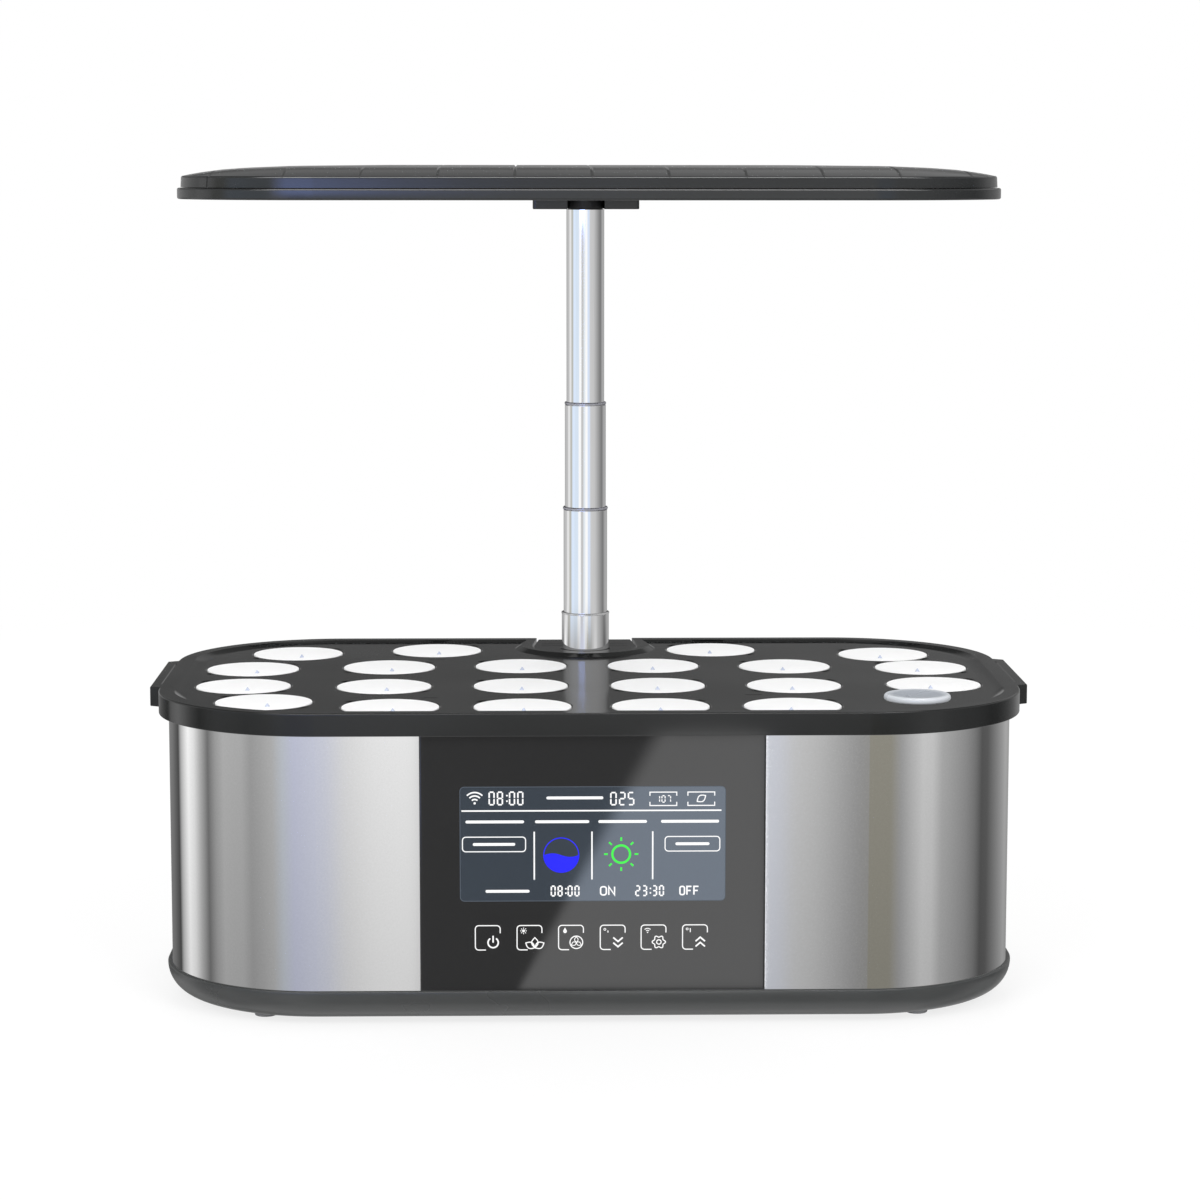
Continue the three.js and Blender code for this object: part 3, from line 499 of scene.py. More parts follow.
def boolean(mesh, shape, operation):
    tool = new_object("tool", mesh_from("tool", shape))
    result = modified(mesh, "BOOLEAN", operation=operation, solver="EXACT", object=tool)
    bpy.data.objects.remove(tool)
    return result


def cut(mesh, *shapes):
    return boolean(mesh, merged(*shapes), "DIFFERENCE")


def join(mesh, *shapes):
    return boolean(mesh, merged(*shapes), "UNION")


def smoothed(mesh, angle=SMOOTH_ANGLE):
    """Smooth shading between creases, with large faces kept flat beside small rounded edges."""
    mesh.shade_smooth()
    mesh.set_sharp_from_angle(angle=math.radians(angle))
    return modified(mesh, "WEIGHTED_NORMAL", keep_sharp=True)


def piece(name, form, material, body, stands_for=(), place=(0, 0, 0)):
    """A finished piece from a mesh or a shape, riding on its body."""
    mesh = form if isinstance(form, bpy.types.Mesh) else smoothed(mesh_from(name, form))
    if not mesh.materials:
        mesh.materials.append(material)
    thing = new_object(name, mesh)
    thing.location = place
    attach(thing, body)
    if stands_for:
        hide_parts(*stands_for)
    return thing


# Materials

TONE_SCALE = 18
PATTERN_SPAN = (0.3, 0.7)
GRAIN_RELIEF = 0.02 * MM
DRAWN_RELIEF = 0.01 * MM
DRAWN_SCALE = 60
GLOW_SCALE = 300
HAZE_SCALE = 40
GLOSS_VARIATION = 0.15
DRAWN_VARIATION = 0.2
GLOW_VARIATION = 0.03
HAZE_RANGE = 0.05


class Tree:
    """A node tree. A node's inputs take numbers, colours and other nodes' outputs."""

    def __init__(self, owner):
        owner.use_nodes = True
        self.owner, self.nodes, self.links = owner, owner.node_tree.nodes, owner.node_tree.links

    def feed(self, node, inputs):
        for name, value in inputs.items():
            if isinstance(value, bpy.types.NodeSocket):
                self.links.new(value, node.inputs[name])
            elif value is not None:
                node.inputs[name].default_value = value

    def shade(self, **inputs):
        """Sets the main shader's inputs; a name's underscores stand for spaces."""
        values = {name.replace("_", " "): value for name, value in inputs.items()}
        self.feed(self.nodes["Principled BSDF"], values)
        return self.owner

    def add(self, kind, inputs, output=0, **settings):
        node = self.nodes.new("ShaderNode" + kind)
        for name, value in settings.items():
            setattr(node, name, value)
        self.feed(node, inputs)
        return node.outputs[output]

    def place(self):
        return self.add("TexCoord", {}, "Object")

    def axes(self):
        return self.add("SeparateXYZ", {0: self.place()}).node.outputs

    def math(self, operation, first, second=None):
        return self.add("Math", {0: first, 1: second}, operation=operation)

    def vector(self, operation, first, second=None, output=0):
        return self.add("VectorMath", {0: first, 1: second}, output, operation=operation)

    def mix(self, factor, first, second):
        """One colour over another; 6, 7 and 2 are the node's colour sockets."""
        return self.add("Mix", {0: factor, 6: first, 7: second}, 2, data_type="RGBA")

    def mix_shader(self, factor, first, second):
        return self.add("MixShader", {0: factor, 1: first, 2: second})

    def spread(self, value, start, end, low=0.0, high=1.0, **settings):
        """A value brought from one range to another."""
        inputs = {"Value": value, "From Min": start, "From Max": end, "To Min": low, "To Max": high}
        return self.add("MapRange", inputs, **settings)

    def ramp(self, value, stops):
        """Colours by a value's place between stops; a plain number is a grey."""
        colour = self.add("ValToRGB", {"Fac": value}, "Color")
        elements = colour.node.color_ramp.elements
        while len(elements) < len(stops):
            elements.new(0.5)
        for element, (position, tone) in zip(elements, stops):
            element.position = position
            element.color = (*(tone if isinstance(tone, tuple) else (tone,) * 3), 1)
        return colour

    def noise(self, scale, detail=4.0, stretch=(1, 1, 1)):
        """A noise pattern in the object's own metres."""
        place = self.add("Mapping", {"Vector": self.place(), "Scale": stretch})
        return self.add("TexNoise", {"Vector": place, "Scale": scale, "Detail": detail}, "Fac")

    def vary(self, pattern, value, share):
        """A value, a little lower and higher by a pattern."""
        return self.spread(pattern, *PATTERN_SPAN, value * (1 - share), value * (1 + share))

    def tint(self, pattern, colour, share):
        """A colour, a little darker and lighter by a pattern."""
        tones = [tuple(min(1, c * factor) for c in colour) for factor in (1 - share, 1 + share)]
        return self.ramp(pattern, list(zip(PATTERN_SPAN, tones)))

    def bump(self, pattern, strength, distance):
        inputs = {"Strength": strength, "Distance": distance, "Height": pattern}
        return self.add("Bump", inputs, "Normal")

    def shiny_rays(self):
        """1 for the eye's rays and for those that a shiny surface sends on."""
        rays = self.add("LightPath", {}).node.outputs
        mirrored = self.math("MAXIMUM", rays["Is Glossy Ray"], rays["Is Transmission Ray"])
        return self.math("MAXIMUM", rays["Is Camera Ray"], mirrored)

    def share(self, angle, limits):
        """From 0 to 1 as an angle goes between two limits in degrees."""
        return self.spread(angle, *[math.radians(limit) for limit in limits])

    def window(self, angle, rise, fall):
        """1 between the rise and the fall, and 0 outside."""
        after = self.math("SUBTRACT", 1, self.share(angle, fall))
        return self.math("MULTIPLY", self.share(angle, rise), after)

    def angle_ramp(self, angle, stops):
        """Colours by angle in degrees."""
        low, high = stops[0][0], stops[-1][0]
        shares = [((degrees - low) / (high - low), colour) for degrees, colour in stops]
        return self.ramp(self.share(angle, (low, high)), shares)


def new_material(name):
    return Tree(bpy.data.materials.new(name))


def plastic(name, colour, roughness, specular=0.5, grain=2500, bump=0.15, variation=0.06):
    """Moulded plastic: a fine spark-eroded grain, with slow changes of tone and gloss."""
    tree = new_material(name)
    tone = tree.noise(TONE_SCALE)
    return tree.shade(
        Base_Color=tree.tint(tone, colour, variation),
        Roughness=tree.vary(tone, roughness, GLOSS_VARIATION),
        Specular_IOR_Level=specular,
        Normal=tree.bump(tree.noise(grain, detail=2), bump, GRAIN_RELIEF),
    )


def metal(name, colour, roughness, stretch, bump=0.02):
    """Sheet or tube metal with a fine drawn grain."""
    tree = new_material(name)
    grain = tree.noise(DRAWN_SCALE, detail=6, stretch=stretch)
    return tree.shade(
        Metallic=1,
        Base_Color=tree.tint(grain, colour, 0.02),
        Roughness=tree.vary(grain, roughness, DRAWN_VARIATION),
        Normal=tree.bump(grain, bump, DRAWN_RELIEF),
    )


def lit(name, colour, strength):
    """A lit sign's face, its light a little uneven."""
    tree = new_material(name)
    glow = tree.noise(GLOW_SCALE)
    return tree.shade(
        Base_Color=tree.tint(glow, [channel * 0.1 for channel in colour], 0.04),
        Roughness=0.3,
        Specular_IOR_Level=0.1,
        Emission_Color=(*colour, 1),
        Emission_Strength=tree.vary(glow, strength, GLOW_VARIATION),
    )


def clear(name, roughness):
    tree = new_material(name)
    haze = tree.noise(HAZE_SCALE)
    return tree.shade(
        Base_Color=tree.tint(haze, (0.93, 0.95, 0.96), 0.02),
        Roughness=tree.spread(haze, *PATTERN_SPAN, roughness, roughness + HAZE_RANGE),
        Transmission_Weight=1,
        IOR=1.49,
    )


DECK_BLACK = plastic("deck_black", (0.009, 0.0095, 0.0095), 0.11, bump=0.03)
PLATE_BLACK = plastic("plate_black", (0.009, 0.0095, 0.01), 0.06, specular=1.0, bump=0.01)
LAMP_BLACK = plastic("lamp_black", (0.014, 0.015, 0.0155), 0.12, bump=0.03)
TRAY_GREY = plastic("tray_grey", (0.033, 0.035, 0.035), 0.3, specular=0.7, bump=0.08)
TANK_GREY = plastic("tank_grey", (0.16, 0.165, 0.17), 0.45)
INNER_BLACK = plastic("inner_black", (0.02, 0.02, 0.021), 0.45, bump=0.25)
LID_WHITE = plastic("lid_white", (0.95, 0.95, 0.95), 0.45, specular=0.3, variation=0.01)
CUP_WHITE = plastic("cup_white", (0.78, 0.79, 0.79), 0.4, variation=0.02)
# Painted shade: the nub's grey-blue stands in for the shading seen on the small wedge of the white
# lid.
NUB_PAINTED_SHADE = plastic("nub_grey", (0.46, 0.51, 0.64), 0.45, variation=0.05)
CAP_FROST = plastic("cap_frost", (0.37, 0.4, 0.45), 0.28, specular=0.7, variation=0.03)
RUBBER = plastic("foot_rubber", (0.42, 0.42, 0.43), 0.7, grain=1500, bump=0.4)
BUSH = plastic("bush_plastic", (0.62, 0.61, 0.57), 0.5, variation=0.04)
FOAM = plastic("plug_foam", (0.05, 0.035, 0.022), 0.95, grain=900, bump=1.0, variation=0.5)
GLOSS = plastic("gloss_panel", (0.009, 0.009, 0.0093), 0.05, bump=0.004)
SCREEN = plastic("screen", (0.015, 0.021, 0.028), 0.05, specular=1.1, bump=0.004)
Tree(SCREEN).shade(Specular_Tint=(0.74, 0.84, 1, 1))
BOARD = plastic("circuit_green", (0.012, 0.07, 0.03), 0.4, grain=400, bump=0.3, variation=0.2)
LAMP_BOARD = plastic("lamp_board_white", (0.8, 0.81, 0.81), 0.4, variation=0.02)
STEEL = metal("band_steel", (0.86, 0.86, 0.86), 0.035, (16, 16, 16))
MAST_STEEL = metal("mast_steel", (0.96, 0.96, 0.965), 0.04, (40, 40, 1))
RING_STEEL = metal("ring_steel", (0.6, 0.6, 0.65), 0.3, (40, 40, 1))
WHITE_LIGHT = lit("mark_white", (1, 1, 1), 0.95)
SCREEN_EDGE = lit("screen_edge", (0.1, 0.12, 0.15), 1.0)
WATER_BLUE = lit("water_blue", (0.026, 0.026, 1), 0.95)
SUN_GREEN = lit("sun_green", (0.07, 0.9, 0.09), 0.95)
LED_YELLOW = lit("led_phosphor", (0.9, 0.75, 0.25), 0.1)
WINDOW_CLEAR = clear("window_clear", 0.03)


# Base


def make_tray():
    side, low = TRAY_HIGH.z - TRAY_EASE, TRAY_LOW.z
    outside = []
    for step in range(TRAY_CURVE_STEPS + 1):
        turn = math.radians(90 * (1 - step / TRAY_CURVE_STEPS))
        reach = (TRAY_LIP + TRAY_INSET) * math.cos(turn) - TRAY_INSET
        outside.append((reach, side - (side - low) * math.sin(turn)))
    seat = BAND_LOW.z - TRAY_BAND_GAP
    inside = [
        (TRAY_BAND_GAP, TRAY_HIGH.z),
        (TRAY_BAND_GAP, seat),
        (-TRAY_FLOOR_INSET / 2, seat),
        (-TRAY_FLOOR_INSET, low + TRAY_FLOOR_RISE),
    ]
    profile = outside + top_edge(TRAY_LIP, TRAY_HIGH.z, TRAY_EASE)[1:] + inside
    mesh = mesh_from("base_tray_fine", loft([raised(body_outline(r), z) for r, z in profile]))
    inlet_low, inlet_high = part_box("power_inlet")
    pocket = block(
        (inlet_low.x - PANEL_GAP, inlet_high.x + PANEL_GAP),
        (inlet_low.y - PANEL_GAP, TRAY_HIGH.y + OVERRUN),
        (inlet_low.z - PANEL_GAP, inlet_high.z + PANEL_GAP),
    )
    piece("tray", smoothed(cut(mesh, pocket)), TRAY_GREY, "root", ["base_tray"])


def make_feet():
    for node in ("front_left_foot", "front_right_foot", "rear_left_foot", "rear_right_foot"):
        low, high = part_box(node)
        radius = radius_of(node)
        hollow, tread = radius - 2 * FOOT_EASE, low.z + FOOT_EASE / 2
        profile = [(0, tread), (hollow, tread), (hollow, low.z)]
        profile += foot_edge(radius, low.z, FOOT_EASE) + [(radius, high.z), (0, high.z)]
        shape = lathe(profile, SMALL_STEPS, centre_of(node))
        piece(node + "_pad", shape, RUBBER, "root", [node])


def make_band():
    outer = foot_edge(0, BAND_LOW.z, BAND_EASE, FINE_STEPS)
    outer += top_edge(0, BAND_HIGH.z, BAND_EASE, FINE_STEPS)
    inner = [(-BAND_THICKNESS, BAND_HIGH.z), (-BAND_THICKNESS, BAND_LOW.z)]
    levels = [raised(body_outline(reach), z) for reach, z in outer + inner]
    mesh = mesh_from("steel_band_fine", loft(levels, closed=True))
    opening = block(
        (PANEL_LOW.x - PANEL_GAP, PANEL_HIGH.x + PANEL_GAP),
        (-BODY_HALF_DEPTH - OVERRUN, PANEL_HIGH.y),
        (BAND_LOW.z - OVERRUN, BAND_HIGH.z + OVERRUN),
    )
    piece("band", smoothed(cut(mesh, opening)), STEEL, "root", ["steel_band"])


# Front panel, its display and keys. Marks are drawn in millimetres, x to the right and z up, from
# the display's centre for the display and from the body's foot for the keys.

PANEL_EASE = 0.5 * MM
DISPLAY_LOW, DISPLAY_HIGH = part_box("display_module")
DISPLAY_Z = (DISPLAY_LOW.z + DISPLAY_HIGH.z) / 2
SCREEN_CORNER = 2.2
SCREEN_EDGE_WIDTH = 0.3
SCREEN_PROUD = 0.04
MARK_PROUD = 0.09
STROKE = 0.72
THIN = 0.5
FINE = 0.35
LABEL_STROKE = 1.4
DIGIT_GAP = 0.25
DIGIT_SHARE = 0.76
COLON_SHARE = 0.45
DOT_PLACE = 0.22
DOT_HEIGHTS = (0.3, 0.7)
DOT_RADIUS = 0.6
DOT_STEPS = 12
LETTER_GAP = 1.2
LETTER_CORNER = 0.4
LEAF_STEPS = 8
LEAF_WIDTH = 0.32
WAVE_DOT = 0.8
KEY_SIZE = 12.1
KEY_PLACES = (-51.1, -30.8, -10.6, 9.7, 29.6, 49.8)
KEY_Z = 44.05
KEY_CORNER = 1.6
KEY_OPENING = (-0.15, 0.38)
WATER_PLACE = (-15.3, -5.5)
WATER_RADIUS = 8.5
WAVE_HEIGHT = 0.9
SUN_PLACE = (13.8, -5.1)

# Each digit's segments, with a at the top, b to f clockwise round it, and g in the middle.
SEGMENTS = dict(
    zip("0123456789", "abcdef bc abged abgcd fgbc afgcd afgedc abc abcdefg abcdfg".split())
)


def mark(path, width=STROKE, closed=False):
    """A stroke on the panel's face."""
    return ribbon(path, width, SCREEN_PROUD, MARK_PROUD, closed)


def filled(points):
    return slab(points, SCREEN_PROUD, MARK_PROUD)


def segment_digit(character, x, z, width, height, stroke):
    """A seven-segment digit whose lower left corner is at x, z."""
    half, gap = stroke / 2, DIGIT_GAP
    left, right = x + half, x + width - half
    bottom, middle, top = z + half, z + height / 2, z + height - half
    ends = {
        "a": ((left + gap, top), (right - gap, top)),
        "b": ((right, top - gap), (right, middle + gap)),
        "c": ((right, middle - gap), (right, bottom + gap)),
        "d": ((left + gap, bottom), (right - gap, bottom)),
        "e": ((left, middle - gap), (left, bottom + gap)),
        "f": ((left, top - gap), (left, middle + gap)),
        "g": ((left + gap, middle), (right - gap, middle)),
    }
    return [mark(ends[segment], stroke) for segment in SEGMENTS[character]]


def number(text, x, z, width, height, stroke=STROKE):
    """A row of digits; a colon takes less room than a digit."""
    pitch = width / sum(COLON_SHARE if character == ":" else 1 for character in text)
    shapes = []
    for character in text:
        if character == ":":
            for share in DOT_HEIGHTS:
                place = (x + pitch * DOT_PLACE, z + height * share)
                shapes.append(filled(circle(stroke * DOT_RADIUS, DOT_STEPS, place)))
            x += pitch * COLON_SHARE
        else:
            shapes += segment_digit(character, x, z, pitch * DIGIT_SHARE, height, stroke)
            x += pitch
    return shapes


def label_bar(low_x, high_x, z):
    """A plain bar in the place of a word."""
    half = LABEL_STROKE / 2
    ends = arc_points((high_x - half, z), half, -90, 90, ARC_STEPS)
    return filled(ends + arc_points((low_x + half, z), half, 90, 270, ARC_STEPS))


def round_box(low_x, high_x, low_z, high_z, radius):
    centre = (high_x + low_x) / 2
    points = outline((high_x - low_x) / 2, low_z, high_z, radius, RIM_STEPS)
    return [(x + centre, z) for x, z in points]


def waves(centre, radii, stroke=STROKE):
    """Arcs over a dot."""
    shapes = [mark(arc_points(centre, r, 45, 135, 12), stroke) for r in radii]
    return shapes + [filled(circle(stroke * WAVE_DOT, 16, centre))]


def open_box(low_x, high_x, low_z, high_z, gap=1.5):
    """A box whose sides are open at their middles."""
    middle = (low_z + high_z) / 2
    halves = ((middle + gap, high_z), (middle - gap, low_z))
    return [mark([(low_x, a), (low_x, b), (high_x, b), (high_x, a)], THIN) for a, b in halves]


def leaf(centre, length, turn, stroke=THIN):
    """A pointed leaf outline."""
    shares = [step / LEAF_STEPS for step in range(LEAF_STEPS + 1)]
    width = LEAF_WIDTH * length
    half = [(share * length, width * math.sin(math.pi * share)) for share in shares]
    points = half + [(u, -v) for u, v in reversed(half[1:-1])]
    spin = turn_at(turn, centre)
    return mark([(spin @ Vector((u, v, 0))).to_2d() for u, v in points], stroke, closed=True)


def rays(centre, near, far, stroke):
    """Eight short strokes round a centre."""
    return [mark(ends, stroke) for ends in zip(circle(near, 8, centre), circle(far, 8, centre))]


def status_row():
    shapes = waves((-57.2, 20.2), (1.9, 3.6, 5.3))
    shapes += number("08:00", -50.5, 19.1, 17.9, 6.9)
    shapes += number("025", 8.4, 18.9, 12.8, 6.7)
    shapes += open_box(27.7, 40.7, 18.8, 25.4)
    shapes += number("107", 30.6, 20.2, 8, 3.7, THIN)
    shapes += open_box(46.1, 59.1, 18.8, 25.4)
    line = mark([(-63.6, 16.4), (62.4, 16.4)])
    return shapes + [label_bar(-22.5, 5.1, 22.7), leaf((50.6, 20.8), 5, 35), line]


def middle_row():
    spans = ((-61.7, -33.3), (-28, -1.7), (2.7, 26.3), (33.1, 61.3))
    shapes = [label_bar(low, high, 11) for low, high in spans]
    shapes += [mark([(x, 6.1), (x, -17.6)]) for x in (-28.4, -0.4, 29.1)]
    for low, high in ((-63.2, -32.6), (35.1, 61.7)):
        shapes.append(mark(round_box(low, high, -3.7, 3.5, 1.6), THIN, closed=True))
        shapes.append(label_bar(low + 5, high - 5, -0.1))
    return shapes


def lower_row():
    base, height = -26, 5.5
    shapes = [label_bar(-52.1, -30.7, -23.3)]
    for text, x in (("08:00", -20.5), ("23:30", 20.6)):
        shapes += number(text, x, base, 14.9, height)
    for text, x, width in (("ON", 3.8, 2.8), ("OFF", 42.4, 2.2)):
        shapes += word(text, x, base + STROKE, width, height - 2 * STROKE)
    return shapes


def word(text, x, z, width, height):
    """The words ON and OFF, in plain strokes."""
    shapes = []
    for character in text:
        high, right = z + height, x + width
        if character == "O":
            shapes.append(mark(round_box(x, right, z, high, width * LETTER_CORNER), closed=True))
        elif character == "N":
            shapes.append(mark([(x, z), (x, high), (right, z), (right, high)]))
        else:
            shapes.append(mark([(x, z), (x, high), (right, high)]))
            shapes.append(mark([(x, z + height / 2), (right - STROKE / 2, z + height / 2)]))
        x += width + LETTER_GAP
    return shapes


def water_icon():
    ring = mark(circle(WATER_RADIUS, 48, WATER_PLACE), THIN, closed=True)
    x, z = WATER_PLACE
    surface = []
    for share in (step / 24 for step in range(24)):
        lift = WAVE_HEIGHT * math.sin(2 * math.pi * share)
        surface.append((x + WATER_RADIUS * (1 - 2 * share), z - lift))
    bottom = arc_points(WATER_PLACE, WATER_RADIUS, 180, 360, 24)
    return [ring, filled(surface + bottom[:-1])]


def sun_icon():
    ring = mark(circle(4.3, 40, SUN_PLACE), 1.1, closed=True)
    return [ring] + rays(SUN_PLACE, 6.5, 8.3, 0.9)


def key_frame(x, z):
    """An open square: from its bottom round the left and the top to part-way down the right."""
    half = KEY_SIZE / 2
    left, right = span(x, half - KEY_CORNER)
    low, high = span(z, half - KEY_CORNER)
    foot, end = KEY_OPENING
    path = [(x + half * foot, z - half)]
    for centre, start in (((left, low), 270), ((left, high), 180), ((right, high), 90)):
        path += arc_points(centre, KEY_CORNER, start, start - 90)
    return mark(path + [(x + half, z + half * end)], THIN)


def power_icon(x, z):
    return [mark(arc_points((x, z), 2.5, 125, 415, 24)), mark([(x, z), (x, z + 3.4)])]


def plant_icon(x, z):
    return [leaf((x, z - 2.6), 5, turn) for turn in (90, 28, 152)]


def fan_icon(x, z):
    blades = [leaf((x, z), 2.7, turn, FINE) for turn in (90, 210, 330)]
    return [mark(circle(3.1, 32, (x, z)), THIN, closed=True)] + blades


def chevrons(x, z, rise):
    """Two nested arrow heads that point up, or down with a rise below zero."""
    return [
        mark([(x - 2.3, middle - rise), (x, middle + rise), (x + 2.3, middle - rise)])
        for middle in span(z, 1.3)
    ]


def gear_icon(x, z):
    """A six-lobed outline round a small ring."""
    points = []
    for turn in (math.radians(7.5 * step) for step in range(48)):
        radius = 2.8 + 0.45 * math.cos(6 * turn)
        points.append((x + radius * math.cos(turn), z + radius * math.sin(turn)))
    return [mark(points, THIN, True), mark(circle(1.1, 20, (x, z)), THIN, True)]


def small_sun(x, z):
    return [filled(circle(0.7, 16, (x, z)))] + rays((x, z), 1, 1.6, FINE)


def small_drop(x, z):
    return [filled(arc_points((x, z - 0.3), 0.9, 160, 380, 14) + [(x, z + 1.6)])]


def small_degree(x, z, bar_top):
    ring = mark(circle(0.5, 12, (x - 0.9, z + 0.6)), 0.3, closed=True)
    return [ring, mark([(x + 0.6, z - 1), (x + 0.6, z + bar_top)], 0.45)]


def key_marks():
    shapes = [key_frame(x, KEY_Z) for x in KEY_PLACES]
    big = [(x + 2.6, KEY_Z - 2.4) for x in KEY_PLACES]
    small = [(x - 2.9, KEY_Z + 3.4) for x in KEY_PLACES]
    shapes += power_icon(*big[0])
    shapes += plant_icon(*big[1]) + small_sun(*small[1])
    shapes += fan_icon(*big[2]) + small_drop(*small[2])
    shapes += chevrons(*big[3], -1) + small_degree(*small[3], 0)
    shapes += gear_icon(*big[4]) + waves((small[4][0], small[4][1] - 1), (1, 2), 0.4)
    return shapes + chevrons(*big[5], 1) + small_degree(*small[5], 1)


def make_panel():
    corners = rectangle((PANEL_LOW.x, PANEL_HIGH.x), (PANEL_LOW.z, PANEL_HIGH.z))
    sheet = facing_front(slab(corners, PANEL_LOW.y - PANEL_HIGH.y, 0, PANEL_EASE))
    piece("panel_sheet", sheet, GLOSS, "root", ["front_panel"])


def make_display():
    half_height = (DISPLAY_HIGH.z - DISPLAY_LOW.z) / 2 / MM
    low_x, high_x = DISPLAY_LOW.x / MM, DISPLAY_HIGH.x / MM
    window = round_box(low_x, high_x, -half_height, half_height, SCREEN_CORNER)
    glass = slab(inset(window, SCREEN_EDGE_WIDTH), -SCREEN_PROUD, SCREEN_PROUD)
    rim = mark(inset(window, SCREEN_EDGE_WIDTH / 2), SCREEN_EDGE_WIDTH, closed=True)
    for name, shapes, material in (
        ("display_window", [glass], SCREEN),
        ("display_rim", [rim], SCREEN_EDGE),
        ("display_marks", status_row() + middle_row() + lower_row(), WHITE_LIGHT),
        ("water_mark", water_icon(), WATER_BLUE),
        ("sun_mark", sun_icon(), SUN_GREEN),
    ):
        piece(name, facing_front(merged(*shapes), MM, DISPLAY_Z), material, "root")
    keys = facing_front(merged(*key_marks()), MM)
    piece("key_marks", keys, WHITE_LIGHT, "root")


# Deck


def deck_blank():
    """The lid: skirt, rim with eased edges, and a soft slope to the floor."""
    reach = RIM_OVERHANG - RIM_WIDTH
    inner = RIM_OVERHANG - SKIRT_THICKNESS
    profile = [(inner, DECK_UNDERSIDE), (inner, RIM_BOTTOM)]
    profile += foot_edge(RIM_OVERHANG, RIM_BOTTOM, SKIRT_EASE)
    profile += top_edge(RIM_OVERHANG, RIM_TOP, RIM_EASE, RIM_STEPS)
    levels = [raised(body_outline(out), z) for out, z in profile]
    half_depth = BODY_HALF_DEPTH + reach - SLOPE_AT_FRONT
    half_width = BODY_HALF_WIDTH + reach - SLOPE_AT_ENDS
    floor = outline(half_width, -half_depth, half_depth, DECK_FLOOR_CORNER)
    for step in range(SLOPE_STEPS + 1):
        share = step / SLOPE_STEPS
        drop = math.sin(math.pi / 2 * share) * (RIM_TOP - DECK_FLOOR)
        levels.append(raised(between(body_outline(reach), floor, share), RIM_TOP - drop))
    return mesh_from("deck_fine", loft(levels))


def deck_ridge():
    """The chamfered ridge round the mast's notch."""
    top = RIM_TOP - RIDGE_DROP
    back = BODY_HALF_DEPTH + RIM_OVERHANG - RIM_WIDTH / 2
    profile = [
        (0, DECK_UNDERSIDE + OVERRUN / 2),
        (0, DECK_FLOOR),
        (RIDGE_EASE, DECK_FLOOR + RIDGE_EASE),
        (RIDGE_SLOPE - RIDGE_EASE, top - RIDGE_EASE / 2),
        (RIDGE_SLOPE, top),
    ]
    levels = []
    for drawn_in, z in profile:
        half_width = RIDGE_BACK_HALF_WIDTH - drawn_in
        points = notch_outline(RIDGE_Y, RIDGE_RADIUS - drawn_in, half_width, back)
        levels.append(raised(points, z))
    return loft(levels)


def deck_handle(side):
    root = BODY_HALF_WIDTH + RIM_OVERHANG - RIM_WIDTH * HANDLE_ROOT
    at_root = HANDLE_HALF_LENGTH + HANDLE_SLANT
    corners = [
        (root, -at_root),
        (HANDLE_TIP, -HANDLE_HALF_LENGTH),
        (HANDLE_TIP, HANDLE_HALF_LENGTH),
        (root, at_root),
    ]
    if side < 0:
        corners = [(-x, y) for x, y in reversed(corners)]
    return slab(corners, RIM_TOP - HANDLE_HEIGHT, RIM_TOP - HANDLE_DROP, HANDLE_EASE)


def seat_cutter(place):
    """A pod's seat with a chamfered mouth, and the hole through the deck."""
    hole = CUP_TOP_RADIUS + CUP_GAP
    profile = [
        (0, RIM_BOTTOM - OVERRUN),
        (hole, RIM_BOTTOM - OVERRUN),
        (hole, SEAT_FLOOR),
        (SEAT_RADIUS, SEAT_FLOOR),
        (SEAT_RADIUS, DECK_FLOOR - SEAT_MOUTH),
        (SEAT_RADIUS + SEAT_MOUTH + OVERRUN, DECK_FLOOR + OVERRUN),
        (0, DECK_FLOOR + OVERRUN),
    ]
    return lathe(profile, ROUND_STEPS, place)


def port_cutter():
    profile = [(0, RIM_BOTTOM), (PORT_RADIUS, RIM_BOTTOM), (PORT_RADIUS, RIM_TOP), (0, RIM_TOP)]
    return lathe(profile, ROUND_STEPS, centre_of("water_port_cap"))


def notch_turns(x, y):
    """Directions of a seat's two finger notches, from its centre."""
    rising = x > 0 if abs(x) < NOTCH_MIDDLE else (y > 0) == (x < 0)
    turn = NOTCH_TURN if rising else -NOTCH_TURN
    return turn, turn + 180


def finger_notch(x, y, turn, seats):
    """A slot just outside the seat's edge, shortened where another seat is close."""
    near, far = SEAT_RADIUS + NOTCH_NEAR, SEAT_RADIUS + NOTCH_FAR
    half = NOTCH_LENGTH / 2
    place = turn_at(turn, (x, y))
    others = [Vector(seat) for seat in seats if seat != (x, y)]
    while far > near:
        tips = [(place @ Vector((far, side, 0))).to_2d() for side in (-half, 0, half)]
        gaps = [(tip - other).length for tip in tips for other in others]
        if min(gaps) > SEAT_RADIUS + NOTCH_CLEARANCE:
            break
        far -= NOTCH_STEP
    if far <= near:
        return []
    heights = (DECK_FLOOR - NOTCH_DEPTH, DECK_FLOOR + OVERRUN / 4)
    return [placed(block((near, far), (-half, half), heights), place)]


